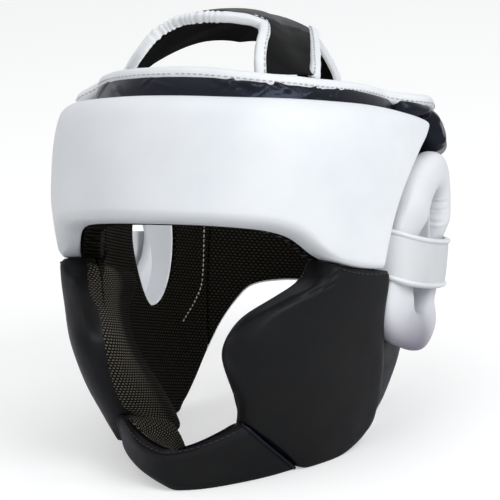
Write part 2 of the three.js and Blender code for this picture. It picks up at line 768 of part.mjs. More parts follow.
// The small round piece at the very top of the crown.
function crownPlug() {
  const outline = [];
  for (const [climb, out] of [[1, STRAP.inner], [0.98, STRAP.inner], [0.98, STRAP.outer], [1, STRAP.outer]]) {
    const [, , z] = onDome(0, climb, out);
    outline.push(new THREE.Vector2(climb === 1 ? 0 : 3.5, z));
  }
  const plug = new THREE.LatheGeometry(outline, 12);
  plug.rotateX(Math.PI / 2);
  plug.deleteAttribute("normal");
  plug.deleteAttribute("uv");
  return facingOut(mergeVertices(plug, 1e-4));
}

// White binding along the lower edge, from the jaw round the nape.
{
  const points = [];
  const count = 28;
  const middle = 3.8;
  for (let i = 0; i <= count; i += 1) {
    const angle = lerp(SIDE.start + 2, 360 - SIDE.start - 2, i / count);
    const low = jawEdge(180 - Math.abs(angle - 180), middle) + LOWER_BINDING_TALL + GAP;
    points.push(new THREE.Vector3(...onHead(angle, low, middle)));
  }
  const level = (point) => new THREE.Vector3(point.x / 78 ** 2, point.y / 100 ** 2, 0).normalize();
  const stations = boundEdge(points, level, LOWER_BINDING_TALL / 2 + 1.2, LOWER_BINDING_TALL / 2, 5.6);
  add("lower_binding", flattened(bead(stations)), WHITE);
}

guard.rotation.x = -radians(TILT_DEG);

const part = new THREE.Group();
part.name = "head_guard";
part.add(guard);
part.updateMatrixWorld(true);
const bounds = new THREE.Box3().setFromObject(part, true);
guard.position.set(0, -(bounds.min.y + bounds.max.y) / 2, -bounds.min.z);

export default part;
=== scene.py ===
"""A padded head guard, white and black leather over foam, standing on its chin bar and jaw edges."""

import math

import bpy
import numpy as np
from mathutils import Matrix, Vector


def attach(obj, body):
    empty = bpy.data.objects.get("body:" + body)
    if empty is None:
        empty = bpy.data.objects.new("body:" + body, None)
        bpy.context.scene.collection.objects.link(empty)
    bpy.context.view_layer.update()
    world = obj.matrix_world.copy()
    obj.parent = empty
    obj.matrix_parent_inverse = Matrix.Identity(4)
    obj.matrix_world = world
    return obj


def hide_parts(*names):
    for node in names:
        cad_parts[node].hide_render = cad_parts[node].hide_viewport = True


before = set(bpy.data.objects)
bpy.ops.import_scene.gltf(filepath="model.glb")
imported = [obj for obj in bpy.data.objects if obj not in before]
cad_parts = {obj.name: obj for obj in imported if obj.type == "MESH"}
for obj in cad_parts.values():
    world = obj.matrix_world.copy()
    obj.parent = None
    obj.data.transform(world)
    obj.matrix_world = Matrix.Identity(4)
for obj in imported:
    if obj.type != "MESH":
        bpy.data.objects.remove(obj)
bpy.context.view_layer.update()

# Sizes are in millimetres in the guard's upright frame, as worn: z = 0 is the brow edge, -Y the front,
# +X the wearer's left. to_row() tilts the guard back on to the floor and gives metres.
TILT = math.radians(18)
CHIN_REST = {"y": -80, "z": -139.5}
SHIFT_Y = -10.03
SHIFT_Z = CHIN_REST["y"] * math.sin(TILT) - CHIN_REST["z"] * math.cos(TILT)

# Layers, measured outwards from the head.
LINING_OUT = 2.0
SHELL = {"inner": 2.8, "outer": 10.3}
PAD_SEAT = 11.25
FOREHEAD_THICK = 16.2
CHEEK_OUTER = 23.5
CHIN_OUTER = {"middle": 21.5, "ends": 18.5}
BACK_OUTER = 29

# Heights
SHELL_TOP = 80
RIM = {"low": 80.35, "high": 87.6, "inner": -0.6, "outer": 11}
FOREHEAD_TOP = {"front": 68, "side": 72.5}
LEG_LOW = -17
DOME = {"base": 86.5, "rise": 38.5, "half_width": 69, "front": 87, "back": 93, "square": 1.85}
CROWN_FULLNESS = {"front": 2.5, "side": 0.9}
STRAP = {"inner": -0.5, "middle": 2.2, "outer": 4.5}
LOWER_BINDING_TALL = 3.6

# Angles round the head in degrees, 0 at the front and 90 at the wearer's left ear.
FRONT_END = 65.7
SIDE = {"start": 66.1, "end": 130.5}
CHIN_SEAM = {"top": 38, "foot": 61, "high": -101}
# The bar's end on the wearer's right: its lower edge rises, and it is slimmer.
CHIN_END = {"lift": 8, "slim": 5}
CHIN_RISE = {"u": [-1, -0.85, -0.6, -0.3, 0, 0.15, 1], "lift": [8.5, 12, 11, 7.5, 3.4, 1.6, 0]}
BACK_START = 130.9
TEMPLE_START = 92

EAR = {"y": 28, "z": -2, "half_long": 18, "half_tall": 36}
RING = {"y": 29, "z": -2, "half_long": 28, "half_tall": 46, "across": 11, "deep": 8.4, "lean": 7}
BRIDGE = {"low": -24, "high": 4, "thick": 1.8}

# The head inside the guard, by height.
BACK_SQUARE = 2.2
HEAD_FORM = {
    "z": [-165, -140, -120, -104, -85, -60, -20, 20, 55, 88, 100],
    "half_width": [40, 44, 50, 56.5, 64.5, 72.5, 78, 79, 77, 69, 66],
    "front": [54, 61, 69, 84, 101, 113, 103, 99, 95, 83, 79],
    "back": [62, 74, 83, 89, 95, 100, 104, 105, 102, 92, 88],
    "square": [1.5, 1.65, 1.6, 1.55, 1.57, 1.64, 1.86, 2.05, 2.15, 2.15, 2.15],
}
CHEEK_FRONT = {"z": [-125, -101, -86, -62, -46, -30, -17], "angle": [38, 38, 36, 33, 39, 51, 58]}
CHEEK_FRONT_LEFT = {
    "z": [-125, -101, -92.5, -72, -63.5, -53, -44.5, -34, -26.5, -20.5, -11],
    "angle": [38, 38, 38, 33.2, 32.4, 34, 37.3, 45.3, 51, 52.8, 54.5],
}
CHEEK_REAR = {"z": [-125, -106, -92, -75, -56, -35, -14], "angle": [99, 97, 93.5, 87.5, 82.5, 79, 77]}
NAPE_EDGE = {
    "angle": [103, 110, 117, 124, 131, 137, 143, 150, 164, 180],
    "z": [-114, -101, -91.5, -79, -63, -47, -34, -23, -18, -18],
}
SIDE_WINDOW = {
    "step": [0, 1, 2, 3, 4, 5, 6, 7, 8, 9],
    "x": [66, 60.5, 56.5, 51, 43.8, 33, 22, 14, 11, 11],
    "y": [-70, -53, -44.5, -33, -18.5, 2, 24, 46, 70, 96],
}
CROWN_SEAM = {
    "step": [0, 1, 2, 3, 4, 5],
    "x": [18, 22.5, 26, 29.5, 34, 39],
    "y": [-56, -48, -38, -27, -18, -13],
}
FRONT_WINDOW = {
    "step": list(range(17)),
    "x": [37.5, 36.8, 35.5, 33, 29, 24.5, 18, 8, -3, -13, -21.2, -27.7, -33, -38.3, -45, -49.3, -54],
    "z": [80, 89, 97, 105.7, 111.8, 114.2, 115.2, 115.4, 115.4,
          114.6, 112.5, 108.2, 102.4, 96.5, 90.5, 87.8, 82],
}
BRIDGE_WRAP = {
    "step": [0, 1, 2, 3, 4, 5, 6, 7, 8, 9, 10],
    "y": [-20, -20.4, -18.5, -12, 8, 29, 50, 62, 69, 72, 72],
    "out": [12, 17, 22.5, 26, 26.4, 26.2, 26.4, 26.6, 24.6, 20.5, 14],
}
BROW_EDGE = {
    "angle": [0, 20, 34, 40, 44.5, 48.7, 51, 55, 61.5, 68, 75, 110],
    "z": [0, 0, -0.4, -1.6, -3.8, -8, -10.7, -13.9, -16.3, -16.6, -16, -16],
}
FOREHEAD_END = {"z": [-17, -10, 10, 30, 50, 70, 80], "angle": [73.5, 73.8, 76.4, 81.3, 89, 99.5, 105]}
LINING_SEAM = {"z": [-56, -46, -34, -22, 11, 60], "angle": [113, 118.5, 124.3, 127.5, 127.5, 127]}
# At the front, how far the rim's edge dips with the feet on it, and how much further out it stands.
RIM_FRONT = {"dip": 2.6, "out": 2.2}
RIM_JOG = {"left": (88, 102), "right": (58, 72), "temple": 15, "back": 15}

# How far the lower rear corner of a cheek cushion is rounded off.
CHEEK_CORNER = 17

# Counts of points round closed shapes.
RING_STEPS, RING_SIDES = 120, 26
RIM_STEPS = 220
SLEEVE_STEPS = 90
PRESSURE_FRAMES = 20

# Each side's name, and what turns a left-hand shape into it.
SIDES = (("left", np.array([1, 1, 1])), ("right", np.array([-1, 1, 1])))


# Small formulas


def lerp(a, b, k):
    return a + (b - a) * k


def smooth(start, end, value):
    k = np.clip((np.asarray(value, float) - start) / (end - start), 0, 1)
    return k * k * (3 - 2 * k)


def rounded(distance, radius):
    """A quarter-round edge: 0 on the border, 1 once the border is a radius away."""
    k = 1 - np.clip(np.asarray(distance, float) / radius, 0, 1)
    return np.sqrt(1 - k * k)


def squared(value, square):
    return np.sign(value) * np.abs(value) ** (2 / square)


def steps(count, near_ends=()):
    """Even steps from 0 to 1, with extra ones close to both ends for a rounded border."""
    extra = [k for e in near_ends for k in (e, 1 - e)]
    return np.unique(np.concatenate([np.linspace(0, 1, count + 1), extra]))


def read(table, key, column, value):
    """Smooth reading of one column of a table, along another column that rises."""
    k = np.asarray(table[key], float)
    c = np.asarray(table[column], float)
    value = np.asarray(value, float)
    last = len(k) - 1
    i = np.clip(np.searchsorted(k, value) - 1, 0, last - 1)
    before, after = np.maximum(i - 1, 0), np.minimum(i + 2, last)
    span = k[i + 1] - k[i]
    t = np.clip((value - k[i]) / span, 0, 1)
    m1 = (c[i + 1] - c[before]) / (k[i + 1] - k[before]) * span
    m2 = (c[after] - c[i]) / (k[after] - k[i]) * span
    start = (2 * t**3 - 3 * t**2 + 1) * c[i] + (t**3 - 2 * t**2 + t) * m1
    return start + (3 * t**2 - 2 * t**3) * c[i + 1] + (t**3 - t**2) * m2


# The head form


def form_at(before, z, out):
    """The head form's half width, its length before or behind the ears and its squareness, by height."""
    across = read(HEAD_FORM, "z", "half_width", z) + out
    along = np.where(before, read(HEAD_FORM, "z", "front", z), read(HEAD_FORM, "z", "back", z)) + out
    square = np.where(before, read(HEAD_FORM, "z", "square", z), BACK_SQUARE)
    return across, along, square


def on_head(angle, z, out):
    """Points on the head form at angles, heights and distances out from it."""
    angle, z, out = np.broadcast_arrays(*(np.asarray(v, float) for v in (angle, z, out)))
    c, s = np.cos(np.radians(angle)), np.sin(np.radians(angle))
    across, along, square = form_at(c > 0, z, out)
    return np.stack([across * squared(s, square), -along * squared(c, square), z], -1)


def side_x(y, z, out):
    """How far out the side of the head form is at a place seen from the side."""
    across, along, square = form_at(np.asarray(y) <= 0, z, out)
    return across * (1 - np.minimum(0.99, np.abs(y) / along) ** square) ** (1 / square)


def angle_at(y, z, out):
    """The angle round the head of a place seen from the side."""
    before = np.asarray(y) <= 0
    _, along, square = form_at(before, z, out)
    c = np.clip(np.abs(y) / along, 0, 1) ** (square / 2)
    return np.degrees(np.arccos(np.where(before, c, -c)))


def from_front(angle):
    """The angle from the front, whichever way round is shorter."""
    return 180 - np.abs(angle - 180)


def rest_height(y):
    return CHIN_REST["z"] + math.tan(TILT) * (y - CHIN_REST["y"])


def jaw_edge(angle, out):
    """The lower edge: along the floor to the jaw angle, then up to the nape."""
    a = np.abs(angle)
    z = np.full(np.shape(a), -115.0)
    for _ in range(8):
        z = rest_height(on_head(a, z, out)[..., 1])
    return np.where(a < NAPE_EDGE["angle"][0], z, np.maximum(z, read(NAPE_EDGE, "angle", "z", a)))


def brow_edge(angle):
    return read(BROW_EDGE, "angle", "z", np.abs(angle))


def forehead_end(z):
    return read(FOREHEAD_END, "z", "angle", z)


def to_row(points):
    p = np.asarray(points, float)
    y = p[..., 1] * math.cos(TILT) + p[..., 2] * math.sin(TILT) + SHIFT_Y
    z = -p[..., 1] * math.sin(TILT) + p[..., 2] * math.cos(TILT) + SHIFT_Z
    return np.stack([p[..., 0], y, z], -1) * 0.001


# Mesh making


def select_none():
    bpy.ops.object.select_all(action="DESELECT")


def pick(piece):
    """Makes a piece the only selected and active one."""
    select_none()
    piece.select_set(True)
    bpy.context.view_layer.objects.active = piece


def make_piece(name, points, faces, uv=None, rests=False):
    """A mesh object from upright millimetres; a piece that rests keeps above the floor."""
    row = to_row(np.asarray(points, float).reshape(-1, 3))
    if rests:
        row[:, 2] = np.maximum(row[:, 2], 0)
    mesh = bpy.data.meshes.new(name)
    mesh.from_pydata(row.tolist(), [], [tuple(int(i) for i in f) for f in faces])
    mesh.validate()
    if uv is not None:
        layer = mesh.uv_layers.new(name="cloth")
        corner = np.zeros(len(mesh.loops), int)
        mesh.loops.foreach_get("vertex_index", corner)
        layer.data.foreach_set("uv", np.asarray(uv, float).reshape(-1, 2)[corner].ravel())
    piece = bpy.data.objects.new(name, mesh)
    bpy.context.scene.collection.objects.link(piece)
    pick(piece)
    bpy.ops.object.mode_set(mode="EDIT")
    bpy.ops.mesh.select_all(action="SELECT")
    bpy.ops.mesh.normals_make_consistent(inside=False)
    bpy.ops.object.mode_set(mode="OBJECT")
    bpy.ops.object.shade_smooth()
    return piece


def sheet_faces(wide, tall, ring=False):
    """Faces of two sheets over one grid, the first inside and the second outside, with their border walls."""
    faces = []
    across = wide if ring else wide - 1

    def at(side, i, j):
        return (side * wide + i % wide) * tall + j

    for i in range(across):
        for j in range(tall - 1):
            faces.append((at(1, i, j), at(1, i + 1, j), at(1, i + 1, j + 1), at(1, i, j + 1)))
            faces.append((at(0, i, j), at(0, i, j + 1), at(0, i + 1, j + 1), at(0, i + 1, j)))
        faces.append((at(1, i, 0), at(0, i, 0), at(0, i + 1, 0), at(1, i + 1, 0)))
        faces.append((at(1, i, tall - 1), at(1, i + 1, tall - 1), at(0, i + 1, tall - 1), at(0, i, tall - 1)))
    for j in range(0 if ring else tall - 1):
        last = wide - 1
        faces.append((at(1, 0, j), at(1, 0, j + 1), at(0, 0, j + 1), at(0, 0, j)))
        faces.append((at(1, last, j), at(0, last, j), at(0, last, j + 1), at(1, last, j + 1)))
    return faces


def grid(columns, rows):
    return np.meshgrid(columns, rows, indexing="ij")


def slab(name, columns, rows, place, ring=False, rests=False, flat=None):
    """A closed piece from an inner and an outer sheet; place(u, v, side) gives points for whole grids."""
    u, v = grid(columns, rows)
    sheets = np.stack([place(u, v, side) for side in (0, 1)])
    uv = flat(sheets) if flat else None
    return make_piece(name, sheets, sheet_faces(len(columns), len(rows), ring), uv, rests)


def sewn_border(border):
    """A slab's sewn points: all of its inner sheet, and the border of its outer one."""
    return np.concatenate([np.ones(border.size, bool), border.ravel()])


def unrolled(points, seam_behind=True):
    """Lengths along the head's girth and up it, in metres, for the weave of the lining."""
    p = points.reshape(-1, 3)
    turn = np.arctan2(p[:, 0], -p[:, 1]) if seam_behind else np.arctan2(p[:, 0], p[:, 1])
    return np.stack([turn * 85, p[:, 2]], -1) * 0.001


def tube(name, centres, across, outs, half_wide, half_deep, sides=14, closed=False, square=2.0, rests=False):
    """A bead swept along stations, with a section that is rounder or squarer."""
    turn = 2 * np.pi * np.arange(sides) / sides
    a = squared(np.cos(turn), square)[None, :, None] * np.reshape(half_wide, (-1, 1, 1))
    b = squared(np.sin(turn), square)[None, :, None] * np.reshape(half_deep, (-1, 1, 1))
    points = centres[:, None, :] + across[:, None, :] * a + outs[:, None, :] * b
    count = len(centres)
    faces = []
    for i in range(count if closed else count - 1):
        n = (i + 1) % count
        for k in range(sides):
            m = (k + 1) % sides
            faces.append((i * sides + k, i * sides + m, n * sides + m, n * sides + k))
    if not closed:
        faces.append(tuple(range(sides)))
        faces.append(tuple((count - 1) * sides + k for k in reversed(range(sides))))
    return make_piece(name, points, faces, rests=rests)


def unit(v):
    return v / np.maximum(1e-9, np.linalg.norm(v, axis=-1, keepdims=True))


def along_path(path, closed=False):
    """The direction of travel at each point of a path."""
    if closed:
        return unit(np.roll(path, -1, 0) - np.roll(path, 1, 0))
    return unit(np.gradient(path, axis=0))


def square_to(outs, way):
    """The ways out again, square to the ways along a path."""
    return unit(outs - way * np.sum(outs * way, axis=1, keepdims=True))


def travelled(path):
    """How far along a path each of its points is."""
    return np.concatenate([[0], np.cumsum(np.linalg.norm(np.diff(path, axis=0), axis=1))])


def even_path(path, pitch):
    """The path again with a point at every pitch along it."""
    path = np.asarray(path, float)
    travel = travelled(path)
    marks = np.arange(0, travel[-1], pitch)
    return np.stack([np.interp(marks, travel, path[:, k]) for k in range(3)], -1)


def finish_piece(piece, finish, nodes=(), levels=1):
    """Gives a piece its subdivision, finish and body, and hides the solids that it stands for."""
    if levels:
        modifier = piece.modifiers.new("rounding", "SUBSURF")
        modifier.levels = levels
        modifier.render_levels = levels
        pick(piece)
        bpy.ops.object.modifier_apply(modifier=modifier.name)
    piece.data.materials.clear()
    piece.data.materials.append(finish)
    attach(piece, "root")
    if nodes:
        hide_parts(*nodes)
    return piece


def vectors(piece, kind):
    """A vector for each of a piece's points: its place, "co", or its "normal"."""
    values = np.zeros(len(piece.data.vertices) * 3)
    piece.data.vertices.foreach_get(kind, values)
    return values.reshape(-1, 3)


def set_coordinates(piece, co):
    piece.data.vertices.foreach_set("co", np.asarray(co, float).ravel())
    piece.data.update()


def shade(piece, values):
    """Gives each point its own share of a finish's darker colour: painted shade."""
    layer = piece.data.attributes.new("shade", "FLOAT", "POINT")
    layer.data.foreach_set("value", np.ravel(values))


def upright(co):
    """Row metres back to upright millimetres."""
    p = co * 1000 - np.array([0, SHIFT_Y, SHIFT_Z])
    y = p[:, 1] * math.cos(TILT) - p[:, 2] * math.sin(TILT)
    z = p[:, 1] * math.sin(TILT) + p[:, 2] * math.cos(TILT)
    return np.stack([p[:, 0], y, z], -1)


def stuff(piece, sewn, pressure=4.0, cap=2.5):
    """Swells a cushion between its sewn points, as its filling does; no point moves further than cap."""
    start = vectors(piece, "co")
    group = piece.vertex_groups.new(name="sewn")
    group.add([int(i) for i in np.flatnonzero(sewn)], 1.0, "ADD")
    cloth = piece.modifiers.new("filling", "CLOTH")
    cloth.settings.use_pressure = True
    cloth.settings.uniform_pressure_force = pressure
    cloth.settings.effector_weights.gravity = 0
    cloth.settings.vertex_group_mass = "sewn"
    cloth.settings.tension_stiffness = 25
    cloth.settings.compression_stiffness = 25
    cloth.settings.bending_stiffness = 2
    cloth.settings.quality = 4
    cloth.point_cache.frame_end = PRESSURE_FRAMES
    for step in range(1, PRESSURE_FRAMES + 1):
        bpy.context.scene.frame_set(step)
    pick(piece)
    bpy.ops.object.modifier_apply(modifier=cloth.name)
    bpy.context.scene.frame_set(1)
    move = vectors(piece, "co") - start
    size = np.linalg.norm(move, axis=1, keepdims=True)
    limit = cap * 0.001
    set_coordinates(piece, start + move * (limit * np.tanh(size / limit) / np.maximum(size, 1e-9)))
    piece.vertex_groups.clear()


def fold(piece, centre, along, long, wide, deep, outward=None):
    """Raises a soft crease: a ridge with a valley beside it, fading out along its length."""
    co = vectors(piece, "co")
    p = upright(co) - np.asarray(centre, float)
    n = vectors(piece, "normal")
    way = unit(np.asarray(along, float))
    run = p @ way
    facing = np.asarray(outward if outward is not None else centre, float) * [1, 1, 0]
    over = unit(np.cross(way, unit(facing)))
    beside = p @ over
    off = p - run[:, None] * way - beside[:, None] * over
    near = np.exp(-((run / long) ** 2)) * (np.linalg.norm(off, axis=1) < 14)
    shape = np.exp(-((beside / wide) ** 2)) - 0.8 * np.exp(-(((beside - 1.9 * wide) / wide) ** 2))
    set_coordinates(piece, co + n * (near * shape * deep * 0.001)[:, None])
    return piece


def ripple(piece, size, deep, seed):
    """Slow unevenness of a hand-made cushion, a sum of a few waves."""
    co = vectors(piece, "co")
    p = upright(co)
    rng = np.random.default_rng(seed)
    lift = np.zeros(len(p))
    for _ in range(7):
        way = unit(rng.normal(size=3))
        lift += np.sin(p @ way * (2 * np.pi / (size * rng.uniform(0.7, 1.5))) + rng.uniform(0, 6.28))
    set_coordinates(piece, co + vectors(piece, "normal") * (lift * deep / 7 * 0.001)[:, None])
    return piece


# Finishes


def node_group(name, inputs, outputs):
    group = bpy.data.node_groups.new(name, "ShaderNodeTree")
    for label, kind, value in inputs:
        socket = group.interface.new_socket(label, in_out="INPUT", socket_type=kind)
        socket.default_value = value
    for label, kind in outputs:
        group.interface.new_socket(label, in_out="OUTPUT", socket_type=kind)
    given = group.nodes.new("NodeGroupInput")
    result = group.nodes.new("NodeGroupOutput")
    return group, given, result


def node(tree, kind, **values):
    made = tree.nodes.new(kind)
    for name, value in values.items():
        setattr(made, name, value)
    return made


def join(tree, source, output, target, socket):
    tree.links.new(source.outputs[output], target.inputs[socket])


def math_node(tree, operation, a, b=0.0):
    """A Math node on two values, each a number, a node or a (node, output) pair."""
    made = node(tree, "ShaderNodeMath", operation=operation)
    for index, value in enumerate((a, b)):
        if isinstance(value, float):
            made.inputs[index].default_value = value
        else:
            source, output = value if isinstance(value, tuple) else (value, 0)
            join(tree, source, output, made, index)
    return made


def leather_group():
    """Pebbled grain, fine creases and slow patches of coated leather."""
    group, given, result = node_group(
        "leather_surface",
        [("Grain Scale", "NodeSocketFloat", 900.0), ("Crease Scale", "NodeSocketFloat", 90.0)],
        [("Height", "NodeSocketFloat"), ("Patches", "NodeSocketFloat"), ("Gloss", "NodeSocketFloat")],
    )
    place = node(group, "ShaderNodeTexCoord")
    grain = node(group, "ShaderNodeTexVoronoi", feature="SMOOTH_F1")
    grain.inputs["Smoothness"].default_value = 0.6
    crease = node(group, "ShaderNodeTexNoise")
    crease.inputs["Detail"].default_value = 5.0
    crease.inputs["Distortion"].default_value = 0.4
    patches = node(group, "ShaderNodeTexNoise")
    patches.inputs["Scale"].default_value = 17.0
    patches.inputs["Detail"].default_value = 3.0
    smear = node(group, "ShaderNodeTexNoise")
    smear.inputs["Scale"].default_value = 60.0
    smear.inputs["Detail"].default_value = 4.0
    for texture in (grain, crease, patches, smear):
        join(group, place, "Object", texture, "Vector")
    join(group, given, "Grain Scale", grain, "Scale")
    join(group, given, "Crease Scale", crease, "Scale")
    soft = math_node(group, "MULTIPLY", crease, 0.8)
    height = math_node(group, "ADD", (grain, "Distance"), soft)
    join(group, height, 0, result, "Height")
    join(group, patches, 0, result, "Patches")
    join(group, smear, 0, result, "Gloss")
    return group


def weave_group():
    """Staggered rows of raised dots on an open knit, from the cloth's own flat coordinates."""
    group, given, result = node_group(
        "dotted_mesh",
        [("Pitch", "NodeSocketFloat", 0.003)],
        [("Height", "NodeSocketFloat"), ("Dot", "NodeSocketFloat")],
    )
    place = node(group, "ShaderNodeTexCoord")
    split = node(group, "ShaderNodeSeparateXYZ")
    join(group, place, "UV", split, "Vector")

    def calc(operation, a, b=0.0):
        return math_node(group, operation, a, b)

    row = calc("MULTIPLY", calc("DIVIDE", (split, "Y"), (given, "Pitch")), 1.4)
    odd = calc("ABSOLUTE", calc("MODULO", calc("FLOOR", row), 2.0))
    column = calc("ADD", calc("DIVIDE", (split, "X"), (given, "Pitch")), calc("MULTIPLY", odd, 0.5))
    across = calc("MULTIPLY", calc("SUBTRACT", calc("FRACT", column), 0.5), 0.78)
    up = calc("MULTIPLY", calc("SUBTRACT", calc("FRACT", row), 0.5), 0.86)
    away = calc("SQRT", calc("ADD", calc("MULTIPLY", across, across), calc("MULTIPLY", up, up)))
    dot = node(group, "ShaderNodeMapRange", interpolation_type="SMOOTHSTEP")
    dot.inputs["From Min"].default_value = 0.4
    dot.inputs["From Max"].default_value = 0.14
    join(group, away, 0, dot, "Value")
    knit = node(group, "ShaderNodeTexNoise")
    knit.inputs["Scale"].default_value = 700.0
    join(group, place, "Object", knit, "Vector")
    join(group, calc("ADD", dot, calc("MULTIPLY", knit, 0.25)), 0, result, "Height")
    join(group, dot, 0, result, "Dot")
    return group


def new_finish(name):
    finish = bpy.data.materials.new(name)
    finish.use_nodes = True
    tree = finish.node_tree
    return finish, tree, tree.nodes["Principled BSDF"]


def placed_group(tree, group, **values):
    made = node(tree, "ShaderNodeGroup", node_tree=group)
    for label, value in values.items():
        made.inputs[label.replace("_", " ")].default_value = value
    return made


def colour_between(tree, source, output, low, high, start=0.35, end=0.65):
    ramp = node(tree, "ShaderNodeValToRGB")
    ramp.color_ramp.elements[0].position = start
    ramp.color_ramp.elements[0].color = (*low, 1)
    ramp.color_ramp.elements[1].position = end
    ramp.color_ramp.elements[1].color = (*high, 1)
    join(tree, source, output, ramp, "Fac")
    return ramp


def value_between(tree, source, output, low, high):
    spread = node(tree, "ShaderNodeMapRange")
    spread.inputs["From Min"].default_value = 0.3
    spread.inputs["From Max"].default_value = 0.7
    spread.inputs["To Min"].default_value = low
    spread.inputs["To Max"].default_value = high
    join(tree, source, output, spread, "Value")
    return spread


def bumped(tree, shader, source, output, strength, distance):
    bump = node(tree, "ShaderNodeBump")
    bump.inputs["Strength"].default_value = strength
    bump.inputs["Distance"].default_value = distance
    join(tree, source, output, bump, "Height")
    join(tree, bump, "Normal", shader, "Normal")


def leather(name, dark, light, rough, grain, bump, specular=0.5, sheen=0.0,
            tint=(1, 1, 1)):
    finish, tree, shader = new_finish(name)
    surface = placed_group(tree, LEATHER, Grain_Scale=grain, Crease_Scale=70.0)
    colour = colour_between(tree, surface, "Patches", dark, light)
    join(tree, colour, "Color", shader, "Base Color")
    gloss = value_between(tree, surface, "Gloss", *rough)
    join(tree, gloss, "Result", shader, "Roughness")
    bumped(tree, shader, surface, "Height", bump, 0.0004)
    shader.inputs["Specular IOR Level"].default_value = specular
    shader.inputs["Specular Tint"].default_value = (*tint, 1)
    shader.inputs["Sheen Weight"].default_value = sheen
    shader.inputs["Sheen Roughness"].default_value = 0.35
    shader.inputs["Sheen Tint"].default_value = (0.32, 0.27, 0.8, 1)
    return finish


def with_painted_shade(finish, dark):
    """Darkens a finish by the mesh's own shade attribute: painted shade, multiplied into its colour."""
    tree = finish.node_tree
    shader = tree.nodes["Principled BSDF"]
    link = shader.inputs["Base Color"].links[0]
    own = node(tree, "ShaderNodeAttribute", attribute_name="shade")
    mix = node(tree, "ShaderNodeMixRGB", blend_type="MULTIPLY")
    mix.inputs["Color2"].default_value = (*dark, 1)
    tree.links.new(link.from_socket, mix.inputs["Color1"])
    join(tree, own, "Fac", mix, "Fac")
    join(tree, mix, "Color", shader, "Base Color")
    return finish


def mesh_lining(name, dot):
    finish, tree, shader = new_finish(name)
    weave = placed_group(tree, WEAVE, Pitch=0.0025)
    colour = colour_between(tree, weave, "Dot", (0.0014, 0.0012, 0.0009), dot, 0.1, 0.95)
    join(tree, colour, "Color", shader, "Base Color")
    gloss = value_between(tree, weave, "Dot", 0.85, 0.5)
    join(tree, gloss, "Result", shader, "Roughness")
    bumped(tree, shader, weave, "Height", 0.9, 0.0006)
    shader.inputs["Specular IOR Level"].default_value = 0.06
    return finish


def thread(name, colour):
    finish, tree, shader = new_finish(name)
    twist = node(tree, "ShaderNodeTexNoise")
    place = node(tree, "ShaderNodeTexCoord")
    join(tree, place, "Object", twist, "Vector")
    twist.inputs["Scale"].default_value = 1500.0
    darker = tuple(0.6 * c for c in colour)
    ramp = colour_between(tree, twist, 0, darker, colour)
    join(tree, ramp, "Color", shader, "Base Color")
    shader.inputs["Roughness"].default_value = 0.7
    bumped(tree, shader, twist, 0, 0.5, 0.0002)
    return finish


LEATHER = leather_group()
WEAVE = weave_group()
WHITE = leather("white_leather", (0.76, 0.785, 0.82), (0.83, 0.85, 0.875), (0.36, 0.5), 1100.0, 0.12)
BRIDGE_LEATHER = leather("white_ring_leather", (0.65, 0.665, 0.685), (0.71, 0.725, 0.74), (0.34, 0.48),
                         1100.0, 0.12)
# The ear rings' white takes painted shade, a purple-grey darkening towards the foot beside the black cheek,
# by the ring's shade attribute.
RING_LEATHER = with_painted_shade(leather("white_ring_roll", (0.72, 0.74, 0.765), (0.79, 0.805, 0.825), (0.34, 0.48),
                              1100.0, 0.12), (0.28, 0.25, 0.33))
BINDING = leather("white_binding", (0.74, 0.765, 0.79), (0.84, 0.855, 0.875), (0.38, 0.55), 1500.0, 0.2)
BLACK = leather("black_leather", (0.0052, 0.0052, 0.0048), (0.008, 0.0078, 0.0068), (0.4, 0.54), 1100.0, 0.16,
                0.2, 0.05, (0.85, 0.88, 1.0))
GLOSS_BLACK = leather("black_band_leather", (0.006, 0.006, 0.0075), (0.01, 0.01, 0.0115), (0.16, 0.32),
                      900.0, 0.16, 0.27, 0.05, (0.58, 0.7, 1.0))
CAP_BLACK = leather("black_cap_leather", (0.0045, 0.0045, 0.0042), (0.0065, 0.0064, 0.0058), (0.45, 0.6),
                    1100.0, 0.16, 0.08, 0.0, (0.85, 0.88, 1.0))
CAP_GLOSS = leather("black_cap_gloss", (0.005, 0.005, 0.0065), (0.008, 0.008, 0.0095), (0.26, 0.42),
                    900.0, 0.2, 0.08, 0.0, (0.5, 0.64, 1.0))
# Matte black for the crown cap's inner side; on the far side window's binding it is painted shade over white
# leather.
UNDERSIDE_AND_PAINTED_SHADE = leather("black_underside_and_painted_shade", (0.0025, 0.0025, 0.0024), (0.004, 0.004, 0.0037), (0.75, 0.9),
                    1100.0, 0.1, 0.06)
# The same dotted lining in lit and shaded copies, painted light and shade: dim dots for the linings in the
# guard's hollow, brighter dots for the chin lining and cheek rolls, and the cheek rolls darken inwards as
# painted shade.
LINING = mesh_lining("mesh_lining", (0.02, 0.018, 0.013))
ROLL_LINING = mesh_lining("mesh_lining_roll", (0.11, 0.1, 0.08))
CHEEK_LINING = with_painted_shade(mesh_lining("mesh_lining_cheek", (0.13, 0.118, 0.095)), (0.12, 0.11, 0.1))
GREY_THREAD = thread("grey_thread", (0.68, 0.69, 0.71))
BLACK_THREAD = thread("black_thread", (0.02, 0.02, 0.023))
BLUE_THREAD = thread("blue_thread", (0.05, 0.1, 0.2))
PALE_THREAD = thread("pale_thread", (0.45, 0.45, 0.42))


# Forehead cushion with a leg before each ear


def forehead_edges(u):
    low = np.zeros(np.shape(u))
    for _ in range(6):
        low = brow_edge(u * forehead_end(low))
    high = lerp(FOREHEAD_TOP["front"], FOREHEAD_TOP["side"], smooth(0.15, 0.85, np.abs(u)))
    return low, high


